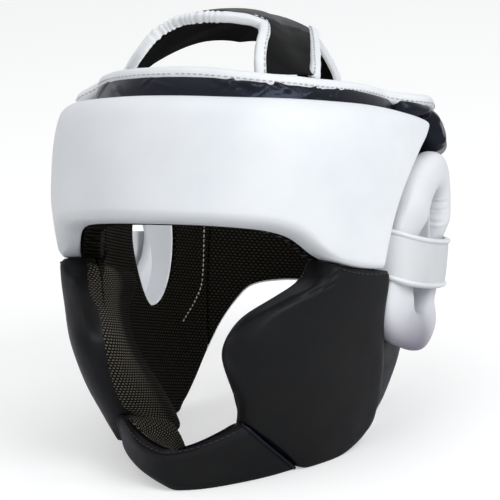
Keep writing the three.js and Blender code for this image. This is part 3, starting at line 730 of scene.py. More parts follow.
def forehead_place(u, v, side):
    low, high = forehead_edges(u)
    z = lerp(low, high, v)
    tall = high - low
    leg = smooth(0.62, 0.78, np.abs(u))
    foot = np.maximum(leg * 0.86, rounded(v * tall, lerp(7, 2.5, leg)))
    top = lerp(10, 5, smooth(0.72, 0.95, u))
    edge = foot * rounded((1 - v) * tall, top) * rounded((1 - np.abs(u)) * 160, 4)
    taper = 3.6 * smooth(-0.5, -0.75, u) * smooth(20, LEG_LOW, z)
    return on_head(u * forehead_end(z), z, PAD_SEAT + side * (FOREHEAD_THICK * (0.3 + 0.7 * edge) - taper))


def make_forehead():
    columns = 2 * steps(96, (0.004, 0.008, 0.016)) - 1
    rows = steps(26, (0.01, 0.022, 0.055, 0.09))
    piece = slab("forehead_cushion", columns, rows, forehead_place)
    u, v = grid(columns, rows)
    border = (v < 0.02) | (v > 0.985) | (np.abs(u) > 0.985)
    stuff(piece, sewn_border(border), 3.0, 1.4)
    finish_piece(piece, WHITE, ["forehead_pad"])
    ripple(piece, 70, 0.5, 3)


# The black band behind it


def make_front_band():
    def place(u, v, side):
        angle = FRONT_END * (2 * u - 1)
        z = lerp(brow_edge(angle) + 7.5, SHELL_TOP, v)
        angle = angle * lerp(1, (TEMPLE_START + 7) / FRONT_END, smooth(58, 64, z))
        a = np.abs(angle)
        bulge = 1.2 * smooth(70, 73, z) * rounded((SHELL_TOP - z) + 0.5, 4) * (1 - smooth(84, 97, a))
        inner = lerp(SHELL["inner"], SHELL["outer"] + 0.05, smooth(FRONT_END - 3, FRONT_END - 0.4, a))
        return on_head(angle, z, SHELL["outer"] + 0.6 * smooth(58, 64, z) + bulge if side else inner)

    piece = slab("front_band", steps(150), steps(26, (0.01, 0.03, 0.97, 0.98, 0.99)), place)
    finish_piece(piece, GLOSS_BLACK, ["front_shell"])
    rng = np.random.default_rng(8)
    for angle in np.concatenate([rng.uniform(20, 42, 10), rng.uniform(48, 62, 5), rng.uniform(-58, 70, 8)]):
        centre = on_head(angle, rng.uniform(73, 78), SHELL["outer"] + 1)
        ahead = on_head(angle + 3, 76, SHELL["outer"] + 1) - on_head(angle, 76, SHELL["outer"] + 1)
        lean = rng.uniform(-0.5, 1.1)
        fold(piece, centre, ahead + np.array([0, 0, lean * np.linalg.norm(ahead)]), rng.uniform(3, 7),
             rng.uniform(0.8, 1.2), rng.uniform(0.5, 0.95))


# Side walls round the ear holes


def annulus(border, hole, inner, outer, rings=12, puff=0.0):
    """A wall between a border and a hole, both given as (angle, height) loops with as many points."""
    k = steps(rings, (0.012, 0.03))
    loop = hole[:, None, :] + (border - hole)[:, None, :] * k[None, :, None]
    angle, z = loop[..., 0], loop[..., 1]
    swell = puff * np.sqrt(rounded(np.minimum(k, 1 - k), 0.25))[None, :]
    sheets = [on_head(angle, z, inner - swell), on_head(angle, z, outer)]
    points = np.concatenate([s.reshape(-1, 3) for s in sheets])
    return points, sheet_faces(len(border), len(k), ring=True)


def ear_loop(turns, grow, out):
    z = EAR["z"] + (EAR["half_tall"] + grow) * np.sin(turns)
    ahead = np.where(np.cos(turns) < 0, lerp(-6, 6, smooth(-40, 25, z)), 0)
    y = EAR["y"] + (EAR["half_long"] + grow + ahead) * np.cos(turns)
    return np.stack([angle_at(y, z, out), z], -1)


def matched(border, out):
    """Turns round the ear hole that face each point of a border, kept even and rising."""
    y = on_head(border[:, 0], border[:, 1], out)[:, 1]
    turns = np.unwrap(np.arctan2((border[:, 1] - EAR["z"]) / 1.3, y - EAR["y"]))
    even = turns[0] + np.sign(turns[-1] - turns[0]) * 2 * np.pi * np.arange(len(turns)) / len(turns)
    return 0.6 * turns + 0.4 * even


def run(start, end, count):
    return lerp(start, end, np.arange(count) / count)


def upright_line(angle, start, end, count=30):
    return np.stack([np.full(count, angle), run(start, end, count)], -1)


def top_line(count=30):
    return np.stack([run(SIDE["end"], SIDE["start"], count), np.full(count, SHELL_TOP)], -1)


def side_border(out, low_gap):
    rear = upright_line(SIDE["end"], float(jaw_edge(SIDE["end"], out)) + low_gap, SHELL_TOP)
    front = upright_line(SIDE["start"], SHELL_TOP, float(jaw_edge(SIDE["start"], out)) + low_gap)
    angles = run(SIDE["start"], SIDE["end"], 44)
    foot = np.stack([angles, jaw_edge(angles, out) + low_gap], -1)
    return np.concatenate([rear, top_line(), front, foot])


def make_side_walls():
    border = side_border(SHELL["outer"], LOWER_BINDING_TALL + 1)
    hole = ear_loop(matched(border, SHELL["outer"]), 5.5, SHELL["outer"])
    points, faces = annulus(border, hole, SHELL["inner"], SHELL["outer"])
    turns = 2 * np.pi * np.arange(SLEEVE_STEPS) / SLEEVE_STEPS
    reach = np.array([1.0, 1.6, 4, 8, 12, 16, 19])
    sleeve = []
    for grow in (0.2, 1.3):
        rings = [ear_loop(turns, grow, out) for out in reach]
        sleeve.append(np.stack([on_head(r[:, 0], r[:, 1], out) for r, out in zip(rings, reach)], 1))
    for name, flip in SIDES:
        piece = make_piece(f"side_wall_{name}", points * flip, faces, rests=True)
        finish_piece(piece, BLACK, [f"side_panel_{name}"])
        piece = make_piece(f"ear_sleeve_{name}", np.stack(sleeve) * flip,
                           sheet_faces(SLEEVE_STEPS, len(reach), ring=True))
        finish_piece(piece, WHITE)


# Lining


def lining_low(angle, out):
    jaw = np.maximum(jaw_edge(np.maximum(angle, 62), out) + 1.6, -119)
    return lerp(CHIN_SEAM["high"] - 0.5, jaw, smooth(CHIN_SEAM["top"], SIDE["start"], angle))


def side_lining_border():
    leg = upright_line(SIDE["start"], SHELL_TOP, LEG_LOW - 0.5)
    cheek_z = run(LEG_LOW - 0.9, CHIN_SEAM["high"], 40)
    cheek = np.stack([read(CHEEK_FRONT, "z", "angle", cheek_z) + 0.6, cheek_z], -1)
    angles = run(CHIN_SEAM["top"], SIDE["end"], 60)
    foot = np.stack([angles, lining_low(angles, 1.0)], -1)
    rear = upright_line(SIDE["end"], float(lining_low(SIDE["end"], 1.0)), SHELL_TOP)
    return np.concatenate([rear, top_line(), leg, cheek, foot])


def make_linings():
    border = side_lining_border()
    hole = ear_loop(matched(border, 1.0), 1.5, 1.0)
    points, faces = annulus(border, hole, 0.0, LINING_OUT, 16, 2.2)
    for name, flip in SIDES:
        piece = make_piece(f"grip_lining_{name}", points * flip, faces, unrolled(points * flip), rests=True)
        finish_piece(piece, LINING, [f"lining_side_{name}"])

    def front(u, v, side):
        angle = FRONT_END * (2 * u - 1)
        low = brow_edge(angle)
        z = lerp(low, SHELL_TOP, v)
        swell = 1.5 * rounded(np.minimum(v, 1 - v), 0.2)
        lip = lerp(0.8, 1, rounded(z - low, 3))
        thick = lerp(SHELL["outer"] - 0.3, LINING_OUT, smooth(5, 7, z - low)) * lip
        return on_head(angle, z, thick if side else -swell)

    piece = slab("grip_lining_front", steps(90), steps(24, (0.01, 0.03)), front, flat=unrolled)
    finish_piece(piece, LINING, ["lining_front"])

    def back(u, v, side):
        angle = lerp(BACK_START, 360 - BACK_START, u)
        turned = from_front(angle)
        low = jaw_edge(turned, SHELL["outer"]) + lerp(1.6, 0.4, smooth(131, 142, turned))
        z = lerp(low, SHELL_TOP, v)
        swell = 2.2 * rounded(np.minimum(v, 1 - v), 0.18) * rounded(np.minimum(u, 1 - u), 0.12)
        return on_head(angle, z, LINING_OUT if side else -swell)

    piece = slab("grip_lining_back", steps(80, (0.006, 0.02)), steps(24, (0.01, 0.03)), back,
                 flat=lambda sheets: unrolled(sheets, seam_behind=False))
    finish_piece(piece, LINING, ["lining_back"])

    def chin(u, v, side):
        angle = 54 * (2 * u - 1)
        a = np.abs(angle)
        low = jaw_edge(a, 1.0) + 2
        rise = -118.5 + 17 * (a / CHIN_SEAM["top"]) ** 2
        lip = 8 * smooth(0.86, 1, v) * smooth(0, 10, a) * (1 - smooth(34, 39, a))
        high = np.where(a < CHIN_SEAM["top"], rise, lining_low(a, 1.0)) - 0.5 + lip * 0.22
        swell = lerp(2.0, 23.0, smooth(8, 32, a)) * rounded(v, 0.3) * rounded(1 - v, 0.16)
        swell = swell * rounded(np.minimum(u, 1 - u), 0.04)
        return on_head(angle, lerp(low, high, v), LINING_OUT + 0.8 * lip if side else lip - swell)

    piece = slab("grip_lining_chin", steps(70), steps(18, (0.02, 0.04, 0.07)), chin, rests=True,
                 flat=lambda sheets: rolled_out(sheets[0]))
    finish_piece(piece, ROLL_LINING, ["lining_chin"])


# Back and temples


def make_back():
    def place(u, v, side):
        angle = lerp(BACK_START, 360 - BACK_START, u)
        low = jaw_edge(from_front(angle), SHELL["outer"]) + LOWER_BINDING_TALL + 0.35
        tall = SHELL_TOP - low
        edge = rounded(v * tall, 12) * rounded((1 - v) * tall, 12) * rounded(np.minimum(u, 1 - u) * 190, 20)
        out = SHELL["outer"] + (BACK_OUTER - SHELL["outer"]) * edge
        return on_head(angle, lerp(low, SHELL_TOP, v), out if side else SHELL["inner"])

    columns, rows = steps(70, (0.004, 0.01, 0.02)), steps(30, (0.008, 0.02, 0.05))
    piece = slab("back_cushion", columns, rows, place)
    u, v = grid(columns, rows)
    border = (np.minimum(v, 1 - v) < 0.03) | (np.minimum(u, 1 - u) < 0.02)
    stuff(piece, sewn_border(border), 3.0, 1.5)
    finish_piece(piece, BLACK, ["back_pad"])
    ripple(piece, 60, 0.9, 5)


def temple_place(u, v, side):
    angle = lerp(TEMPLE_START, SIDE["end"], u)
    low = lerp(FOREHEAD_TOP["side"] + 0.7, 55, smooth(103, 109, angle))
    tall = SHELL_TOP - low
    edge = rounded(v * tall + 1, 8) * rounded((1 - v) * tall + 3, 10) * rounded(u * 55, 14)
    edge = edge * rounded((1 - u) * 70, 5)
    out = PAD_SEAT + 1.5 + (BACK_OUTER - PAD_SEAT - 1.5) * edge
    return on_head(angle, lerp(low, SHELL_TOP, v), out if side else PAD_SEAT)


def make_temples():
    for name, flip in SIDES:
        def place(u, v, side):
            return temple_place(u, v, side) * flip

        piece = slab(f"temple_wing_{name}", steps(50, (0.01, 0.03)), steps(16, (0.02, 0.06)), place)
        finish_piece(piece, GLOSS_BLACK, [f"temple_pad_{name}"])
        for angle, z, lean in ((99, 76, 0.5), (104, 70, 0.9), (110, 66, 0.7)):
            centre = on_head(angle, z, BACK_OUTER - 3) * flip
            fold(piece, centre, (0.2 * flip[0], 1, lean), 9, 1.6, 0.9)


# Cheek cushions


def cheek_place(u, v, side, front=CHEEK_FRONT, lift=0.0, slim=0.0):
    """The cushion's two sheets: its lower front corner can be lifted, and its bulge made slimmer."""
    corner = float(jaw_edge(CHIN_SEAM["foot"], CHEEK_OUTER)) + lift
    angle = lerp(45, 90, u)
    low = top = z = None
    for _ in range(12):
        top = brow_edge(angle) - 0.4
        seam = lerp(CHIN_SEAM["high"], corner, np.clip((angle - CHIN_SEAM["top"]) / 22, 0, 1))
        jaw = jaw_edge(angle, CHEEK_OUTER) - 1 + lift * (1 - smooth(CHIN_SEAM["foot"], 85, angle))
        low = np.where(angle < CHIN_SEAM["foot"], seam, jaw)
        low = low + CHEEK_CORNER * np.clip((u - 0.55) / 0.45, 0, 1) ** 2
        z = lerp(low, top, v)
        goal = lerp(read(front, "z", "angle", z), read(CHEEK_REAR, "z", "angle", z), u)
        angle = 0.5 * angle + 0.5 * goal
    tall = top - low
    edge = rounded(v * tall + 7, 12) * np.maximum(0.86, rounded((1 - v) * tall, 3))
    edge = edge * rounded(u * 75, 13) * rounded((1 - u) * 75, 9)
    seat = lerp(LINING_OUT + 1.05, PAD_SEAT, smooth(58, 66, angle))
    full = lerp(CHEEK_OUTER - 0.8, CHEEK_OUTER, smooth(-125, -80, z)) + 2.6 * smooth(-50, -18, z)
    full = full - slim * lerp(1, 0.45, smooth(-128, -75, z))
    return on_head(angle, z, seat + 2.5 + (full - seat - 2.5) * edge if side else seat)


def cheek_form(name):
    """The placing of one cheek cushion, as if it were on the left."""
    if name == "left":
        return lambda u, v, side: cheek_place(u, v, side, CHEEK_FRONT_LEFT)
    return lambda u, v, side: cheek_place(u, v, side, CHEEK_FRONT, CHIN_END["lift"], CHIN_END["slim"])


def make_cheeks():
    columns, rows = steps(44, (0.006, 0.02, 0.04)), steps(44, (0.008, 0.02))
    u, v = grid(columns, rows)
    border = (np.minimum(v, 1 - v) < 0.015) | (np.minimum(u, 1 - u) < 0.012)
    sewn = sewn_border(border)
    for name, flip in SIDES:
        form = cheek_form(name)

        def place(u, v, side):
            return form(u, v, side) * flip

        piece = slab(f"cheek_cushion_{name}", columns, rows, place, rests=True)
        stuff(piece, sewn, 3.5, 2.2)
        finish_piece(piece, BLACK, [f"cheek_pad_{name}"])
        ripple(piece, 55, 0.7, 11 + flip[0])
        for angle, z, lean, deep in ((53, -27, 1.0, 0.6), (56, -25, 1.1, 0.8), (50, -31, 0.9, 0.5),
                                     (54.5, -23, 1.2, 0.8), (52, -29.5, 1.0, 0.7)):
            centre = on_head(angle, z, CHEEK_OUTER - 1) * flip
            way = (on_head(angle + 4, z, CHEEK_OUTER) - on_head(angle, z, CHEEK_OUTER)) * flip
            fold(piece, centre, way + np.array([0, 0, lean * 5]), 6, 0.9, deep)


def make_cheek_rolls():
    """The soft roll of lining inside each cheek cushion, turned over its front edge."""
    columns, rows = steps(30, (0.01, 0.02)), steps(50, (0.005, 0.015))
    u, v = grid(columns, rows)
    z = lerp(-115, -19, v)
    deep = lerp(13, 25, smooth(-40, -100, z)) * rounded(v, 0.1) * rounded(1 - v, 0.12)
    lip = (1 - rounded(u, 0.3)) * smooth(-104, -98, z)
    inward = lip * 9 - deep * rounded(u, 0.8) * rounded(1 - u, 0.18)
    for (name, flip), edge in zip(SIDES, (CHEEK_FRONT_LEFT, CHEEK_FRONT)):
        front = read(edge, "z", "angle", z)
        seen = on_head(front + 0.4 - 1.6 * rounded(u, 0.06) + 35 * u, z, inward)
        hidden = on_head(front + 2 + 33 * u, z, 1 + 5 * lip - 2 * smooth(-98, -104, z))
        piece = make_piece(f"cheek_roll_{name}", np.stack([seen, hidden]) * flip,
                           sheet_faces(len(columns), len(rows)), rolled_out(seen), rests=True)
        # Painted shade: the roll's colour darkens as it turns inwards, away from its front edge.
        inside = smooth(0.16, 0.46, u)
        shade(piece, np.stack([inside, inside]))
        finish_piece(piece, CHEEK_LINING)


def rolled_out(sheet):
    """Lengths along and up a sheet in metres, once for each of the two sides of its piece."""
    across = np.linalg.norm(np.diff(sheet, axis=0, prepend=sheet[:1]), axis=2)
    up = np.linalg.norm(np.diff(sheet, axis=1, prepend=sheet[:, :1]), axis=2)
    along, rise = np.cumsum(across, 0), np.cumsum(up, 1)
    along = along - along[len(sheet) // 2]
    rise = rise - rise[:, sheet.shape[1] // 2, None]
    flat = np.stack([along, rise], -1).reshape(-1, 2) * 0.001
    return np.concatenate([flat, flat])


# Chin bar


def chin_place(u, v, side):
    angle = u * lerp(CHIN_SEAM["foot"] - 0.2, CHIN_SEAM["top"] - 0.2, v)
    high = -118 + 17 * u * u - 0.4
    turned = smooth(-0.3, -1, u)
    low = jaw_edge(angle, CHIN_OUTER["middle"]) - 1.5 + read(CHIN_RISE, "u", "lift", u)
    edge = rounded(v * 30 + 3, 9) * rounded((1 - v) * 26, 6) * rounded((1 - np.abs(u)) * 60 + 4.2, 6)
    seat = LINING_OUT + 0.7
    full = lerp(CHIN_OUTER["middle"], CHIN_OUTER["ends"], u * u) - CHIN_END["slim"] * turned
    return on_head(angle, lerp(low, high, v), seat + 3 + (full - seat - 3) * edge if side else seat)


def make_chin():
    columns, rows = 2 * steps(64, (0.006, 0.015)) - 1, steps(18, (0.02, 0.05))
    piece = slab("chin_cushion", columns, rows, chin_place, rests=True)
    u, v = grid(columns, rows)
    border = (np.minimum(v, 1 - v) < 0.03) | (np.abs(u) > 0.985)
    stuff(piece, sewn_border(border), 3.0, 1.5)
    finish_piece(piece, BLACK, ["chin_bar"])
    ripple(piece, 45, 0.6, 17)


# Ear rings and the piped band across each


def ring_stations(turn):
    c, s = np.cos(turn), np.sin(turn)
    lean = math.radians(RING["lean"])
    reach = RING["half_long"] + (5.5 + 4 * smooth(0, 0.8, -s)) * smooth(0, 0.8, -c)
    reach = reach - 6 * smooth(0, 0.9, -s) * smooth(0, 0.7, c)
    square = 2.3 + smooth(0, 0.5, -s) * lerp(-0.35, 1.2, smooth(-0.3, 0.5, -c))
    tall = RING["half_tall"] * squared(s, square)
    y = RING["y"] + reach * squared(c, square) + math.sin(lean) * tall
    z = RING["z"] + math.cos(lean) * tall
    rear = smooth(-10, 60, y)
    held = smooth(BRIDGE["low"] - 16, BRIDGE["low"], z) - smooth(BRIDGE["high"], BRIDGE["high"] + 16, z)
    deep = RING["deep"] * (1 - 0.28 * held)
    out = PAD_SEAT + 0.5 + deep + 0.8 * rear
    centre = np.stack([side_x(y, z, out), y, z], -1)
    slant = 0.6 * (side_x(y + 1, z, out) - side_x(y - 1, z, out)) / 2
    long = np.hypot(1, slant)
    across = np.stack([slant * c / long, c, s], -1)
    outs = np.stack([1 / long, -slant / long, 0 * long], -1)
    return centre, across, outs, deep


def make_ear_rings():
    turns = 2 * np.pi * np.arange(RING_STEPS) / RING_STEPS
    centre, across, outs, deep = ring_stations(turns)
    wide = RING["across"] + (2.6 + 3.2 * smooth(0, 0.6, -np.sin(turns))) * smooth(0.2, 0.9, -np.cos(turns))
    for name, flip in SIDES:
        piece = tube(f"ear_cushion_{name}", centre * flip, across * flip, outs * flip, wide, deep, RING_SIDES,
                     closed=True, square=2.5)
        stuff(piece, np.arange(RING_STEPS * RING_SIDES) % RING_SIDES > 14, 2.5, 1.0)
        finish_piece(piece, RING_LEATHER, [f"ear_ring_{name}"])
        co = vectors(piece, "co")
        # Painted shade: the ring's colour darkens towards its foot, most at the front.
        shade(piece, smooth(0.09, 0.047, co[:, 2]) * lerp(0.15, 1, smooth(0.022, -0.012, co[:, 1])))
        ripple(piece, 40, 0.5, 23)
        rng = np.random.default_rng(61)
        for z in (9, 13, 16, 21, 24, 29):
            y = 44 + rng.uniform(-3, 4)
            spot = np.array([side_x(y, z, 24), y, z]) * flip
            way = (0.1 * flip[0], 1, rng.uniform(0.1, 0.6))
            fold(piece, spot, way, rng.uniform(4, 7), rng.uniform(0.7, 1.1), rng.uniform(0.25, 0.6))


def bridge_path(k, z):
    spot = k * (len(BRIDGE_WRAP["step"]) - 1)
    y = read(BRIDGE_WRAP, "step", "y", spot)
    out = read(BRIDGE_WRAP, "step", "out", spot)
    lift = 3.4 * (1 - smooth(0.05, 0.36, k)) + 6 * smooth(0.36, 0.9, k)
    return np.stack([side_x(y, z, out), y, z + lift], -1)


def make_ear_bridges():
    def flat_out(k, z):
        way = bridge_path(np.clip(k + 0.01, 0, 1), z) - bridge_path(np.clip(k - 0.01, 0, 1), z)
        return unit(np.stack([way[..., 1], -way[..., 0], 0 * way[..., 2]], -1))

    for name, flip in SIDES:

        def place(u, v, side):
            z = lerp(BRIDGE["low"], BRIDGE["high"], v)
            puff = 0.8 * rounded(np.minimum(v, 1 - v), 0.3)
            return (bridge_path(u, z) + flat_out(u, z) * (side * (BRIDGE["thick"] + puff))[..., None]) * flip

        piece = slab(f"ear_band_{name}", steps(60), steps(14, (0.02, 0.06)), place)
        finish_piece(piece, BRIDGE_LEATHER, [f"ear_bridge_{name}"])
        k = np.linspace(0, 1, 90)
        for edge, v in (("low", 0.06), ("high", 0.94)):
            z = np.full(k.shape, lerp(BRIDGE["low"], BRIDGE["high"], v))
            outs = flat_out(k, z)
            path = bridge_path(k, z) + outs * (BRIDGE["thick"] + 0.6)
            across = np.cross(along_path(path), outs)
            cord = tube(f"ear_band_piping_{edge}_{name}", path * flip, across * flip, outs * flip,
                        1.25, 1.25, 10)
            finish_piece(cord, BINDING, levels=0)


# Rim binding, crown cap and window bindings


def rim_path(angle):
    turned = from_front(angle)
    right = smooth(*RIM_JOG["right"], turned)
    wider = np.where(angle > 180, right, smooth(*RIM_JOG["left"], turned))
    jog = lerp(RIM_JOG["temple"], RIM_JOG["back"], smooth(110, 150, turned))
    sag = np.where(angle > 180, 8.0, 2.0) * wider * (1 - smooth(84, 110, turned))
    sag = sag + 2.3 * np.where(angle < 180, smooth(0, 35, angle) * (1 - smooth(92, 112, angle)), 0)
    front = 1 - smooth(48, 82, turned)
    sag = sag + RIM_FRONT["dip"] * front
    out = (RIM["inner"] + RIM["outer"]) / 2 + jog * wider + RIM_FRONT["out"] * front
    return on_head(angle, (RIM["low"] + RIM["high"]) / 2 - sag, out), wider


def make_rim():
    angle = 360 * np.arange(RIM_STEPS) / RIM_STEPS
    path, wider = rim_path(angle)
    way = along_path(path, closed=True)
    across = unit(np.stack([way[:, 1], -way[:, 0], 0 * way[:, 0]], -1))
    up = unit(np.cross(across, way))
    up = up * np.sign(up[:, 2:3])
    wide = (RIM["outer"] - RIM["inner"]) / 2 + wider
    tall = np.full(len(path), (RIM["high"] - RIM["low"]) / 2 + 0.5)
    piece = tube("rim_edge", path, across, up, wide, tall, 20, closed=True, square=2.6)
    finish_piece(piece, BINDING, ["rim_binding"])
    ripple(piece, 16, 0.25, 31)
    outer = path + across * (0.99 * wide + 0.1)[:, None] - up * (0.12 * tall)[:, None]
    loop = np.r_[0:RIM_STEPS, 0]
    stitch_row("rim_stitches", outer[loop], across[loop], GREY_THREAD, 0.34)


def crown_fullness(x, y):
    across = np.abs(x / DOME["half_width"]) ** DOME["square"]
    along = np.abs(y / np.where(y < 0, DOME["front"], DOME["back"])) ** DOME["square"]
    sideways = across / np.maximum(1e-6, across + along)
    return lerp(CROWN_FULLNESS["front"], CROWN_FULLNESS["side"], smooth(0, 0.7, sideways))


def over_plan(x, y, out):
    deep = np.where(y < 0, DOME["front"], DOME["back"]) + out
    across = DOME["half_width"] + out
    square = DOME["square"]
    ring = (np.abs(x / across) ** square + np.abs(y / deep) ** square) ** (1 / square)
    rise = np.maximum(0, 1 - np.minimum(1, ring) ** 2) ** (1 / crown_fullness(x, y))
    return np.stack([x, y, DOME["base"] + (DOME["rise"] + out) * rise], -1)


def crown_out(points):
    """The way out of the crown at points near it."""
    x, y, z = points.T
    deep = np.where(y < 0, DOME["front"], DOME["back"])
    return unit(np.stack([x / DOME["half_width"] ** 2, y / deep**2, (z - DOME["base"] + 10) / 48**2], -1))


def front_arch(count, grow=0.0):
    spot = np.linspace(0, len(FRONT_WINDOW["step"]) - 1, count)
    x, z = read(FRONT_WINDOW, "step", "x", spot), read(FRONT_WINDOW, "step", "z", spot)
    way = unit(np.gradient(np.stack([x, z], -1), axis=0))
    return x + grow * way[:, 1], z - grow * way[:, 0]


def front_window_edge():
    x, z = front_arch(120)
    up = (z - DOME["base"]) / (DOME["rise"] + STRAP["middle"])
    y = np.full(x.shape, -60.0)
    for _ in range(12):
        ring = np.sqrt(np.maximum(0, 1 - np.maximum(up, 0) ** crown_fullness(x, y)))
        left = ring ** DOME["square"] - np.abs(x / (DOME["half_width"] + STRAP["middle"])) ** DOME["square"]
        y = -(DOME["front"] + STRAP["middle"]) * np.maximum(0, left) ** (1 / DOME["square"])
    return np.stack([x, y, z], -1)


def side_edge(k):
    spot = np.asarray(k) * (len(SIDE_WINDOW["step"]) - 1)
    return read(SIDE_WINDOW, "step", "x", spot), read(SIDE_WINDOW, "step", "y", spot)


def side_window_edge():
    k = np.linspace(0, 1, 400)
    edge = over_plan(*side_edge(k), STRAP["middle"])
    edge = even_path(edge[edge[:, 2] > DOME["base"] + 0.4], 2.0)
    return np.concatenate([edge[:1] - [0, 0, 4], edge, edge[-1:] - [0, 0, 4]])


def prism(name, outline, low, high, along):
    """A cutter: a flat outline pushed along one axis of the upright frame."""
    count = len(outline)
    ends = []
    for level in (low, high):
        for a, b in outline:
            ends.append((a, level, b) if along == "y" else (a, b, level))
    faces = [tuple(range(count)), tuple(range(2 * count - 1, count - 1, -1))]
    for i in range(count):
        n = (i + 1) % count
        faces.append((i, n, count + n, count + i))
    return make_piece(name, np.array(ends, float), faces)


def cut_away(piece, cutter):
    modifier = piece.modifiers.new("cut", "BOOLEAN")
    modifier.operation = "DIFFERENCE"
    modifier.object = cutter
    modifier.solver = "EXACT"
    pick(piece)
    bpy.ops.object.modifier_apply(modifier=modifier.name)
    bpy.data.objects.remove(cutter, do_unlink=True)


def crown_facing(piece):
    """The middles of a crown piece's faces, and how far each face looks away from the head, from -1 to 1."""
    middle = upright(np.array([face.center[:] for face in piece.data.polygons]))
    ahead = upright(np.array([(face.center + face.normal * 0.001)[:] for face in piece.data.polygons]))
    return middle, np.sum((ahead - middle) * crown_out(middle), axis=1)


def make_crown():
    def place(u, v, side):
        turn = np.radians(360 * u)
        up = np.radians(90 * v)
        out = STRAP["outer"] if side else STRAP["inner"]
        deep = np.where(np.cos(turn) > 0, DOME["front"], DOME["back"])
        x = (DOME["half_width"] + out) * np.cos(up) * squared(np.sin(turn), DOME["square"])
        y = -(deep + out) * np.cos(up) * squared(np.cos(turn), DOME["square"])
        rise = np.sin(up) ** (2 / crown_fullness(x, y))
        z = DOME["base"] + 0.2 + (DOME["rise"] + out) * rise
        return np.stack([x, y, z - (RIM_FRONT["dip"] + 0.2) * (v < 0.01) * smooth(-45, -75, y)], -1)

    columns = np.arange(150) / 150
    rows = np.concatenate([np.linspace(0, 0.96, 34), [0.985, 0.997]])
    piece = slab("crown_cap", columns, rows, place, ring=True)
    x, z = front_arch(81, 1.8)
    cut_away(piece, prism("front_cutter", list(zip(x, z)), -125, -30, "y"))
    x, y = side_edge(np.linspace(0, 1, 60))
    edge = list(zip(x, y))[::-1]
    outline = [(120, -120), (120, 120), (11, 120)] + edge
    cut_away(piece, prism("left_cutter", outline, 70, 150, "z"))
    cut_away(piece, prism("right_cutter", [(-a, b) for a, b in outline], 70, 150, "z"))
    finish_piece(piece, CAP_BLACK, ["crown_strap"], levels=0)
    bpy.ops.object.shade_smooth_by_angle(angle=math.radians(40))
    piece.data.materials.append(CAP_GLOSS)
    piece.data.materials.append(UNDERSIDE_AND_PAINTED_SHADE)
    middle, facing = crown_facing(piece)
    inside = facing < 0.2
    upper = middle[:, 1] > read(CROWN_SEAM, "x", "y", np.abs(middle[:, 0]))
    piece.data.polygons.foreach_set("material_index", np.where(inside, 2, upper.astype(int)).tolist())
    spot = np.linspace(0, 5, 60)
    path = over_plan(read(CROWN_SEAM, "step", "x", spot), read(CROWN_SEAM, "step", "y", spot), STRAP["outer"])
    for name, flip in SIDES:
        stitch_row(f"crown_stitches_{name}", path * flip, crown_out(path) * flip, BLUE_THREAD, 0.35, 2.6)


def window_binding(name, edge, side, nodes, seed, gathered=0.0, sewn=None):
    """A folded strip over a window's edge, gathered into puckers where it turns, with a row of stitches."""
    way = along_path(edge)
    outs = square_to(crown_out(edge), way)
    across = np.cross(way, outs)
    middle = edge + across * side * 0.6 + outs * 0.9
    travel = travelled(edge)
    pucker = gathered * np.sin(2 * np.pi * travel / 3.6 + 1.4 * np.sin(travel * 0.45))
    piece = tube(name, middle, across, outs, 3.2 + 0.4 * pucker, 2.9 + pucker, 18, square=3.0)
    finish_piece(piece, BINDING, nodes)
    ripple(piece, 9, 0.35, seed)
    rim = middle + outs * 2.95 + across * side * 2.0
    keep = np.ones(len(rim), bool) if sewn is None else sewn
    stitch_row(name + "_stitches", rim[keep], outs[keep], GREY_THREAD, 0.42)
    return piece


def make_window_bindings():
    front = even_path(front_window_edge(), 0.9)
    x = front[:, 0]
    gathered = 0.6 * smooth(-38, -27, x) * (1 - smooth(4, 14, x))
    window_binding("front_window_edge", front, 1, ["window_binding_front"], 41, gathered, x > 22)
    left = side_window_edge()
    window_binding("side_window_edge_left", left, -1, ["window_binding_left"], 43)
    right = left * np.array([-1, 1, 1])
    far = window_binding("side_window_edge_right", right, 1, ["window_binding_right"], 47)
    # Its inner side, seen under the cap through the front window, is painted black: painted shade, as the
    # binding itself is white.
    far.data.materials.append(UNDERSIDE_AND_PAINTED_SHADE)
    middle, facing = crown_facing(far)
    hidden = (facing < 0.15) & (middle[:, 1] > -45)
    far.data.polygons.foreach_set("material_index", hidden.astype(int).tolist())


def make_lower_edge():
    angle = lerp(SIDE["start"] + 2, 360 - SIDE["start"] - 2, np.linspace(0, 1, 180))
    middle = 6.6
    low = jaw_edge(from_front(angle), middle) + LOWER_BINDING_TALL / 2
    path = on_head(angle, low, middle)
    way = along_path(path)
    outs = square_to(unit(path * np.array([1 / 78**2, 1 / 100**2, 0])), way)
    across = np.cross(way, outs)
    piece = tube("lower_edge", path, across, outs, LOWER_BINDING_TALL / 2 + 0.3, 3.6, 14, square=2.8,
                 rests=True)
    finish_piece(piece, BINDING, ["lower_binding"])


# Stitches


STITCH = {"pitch": 3.4, "long": 2.3, "sides": 6}


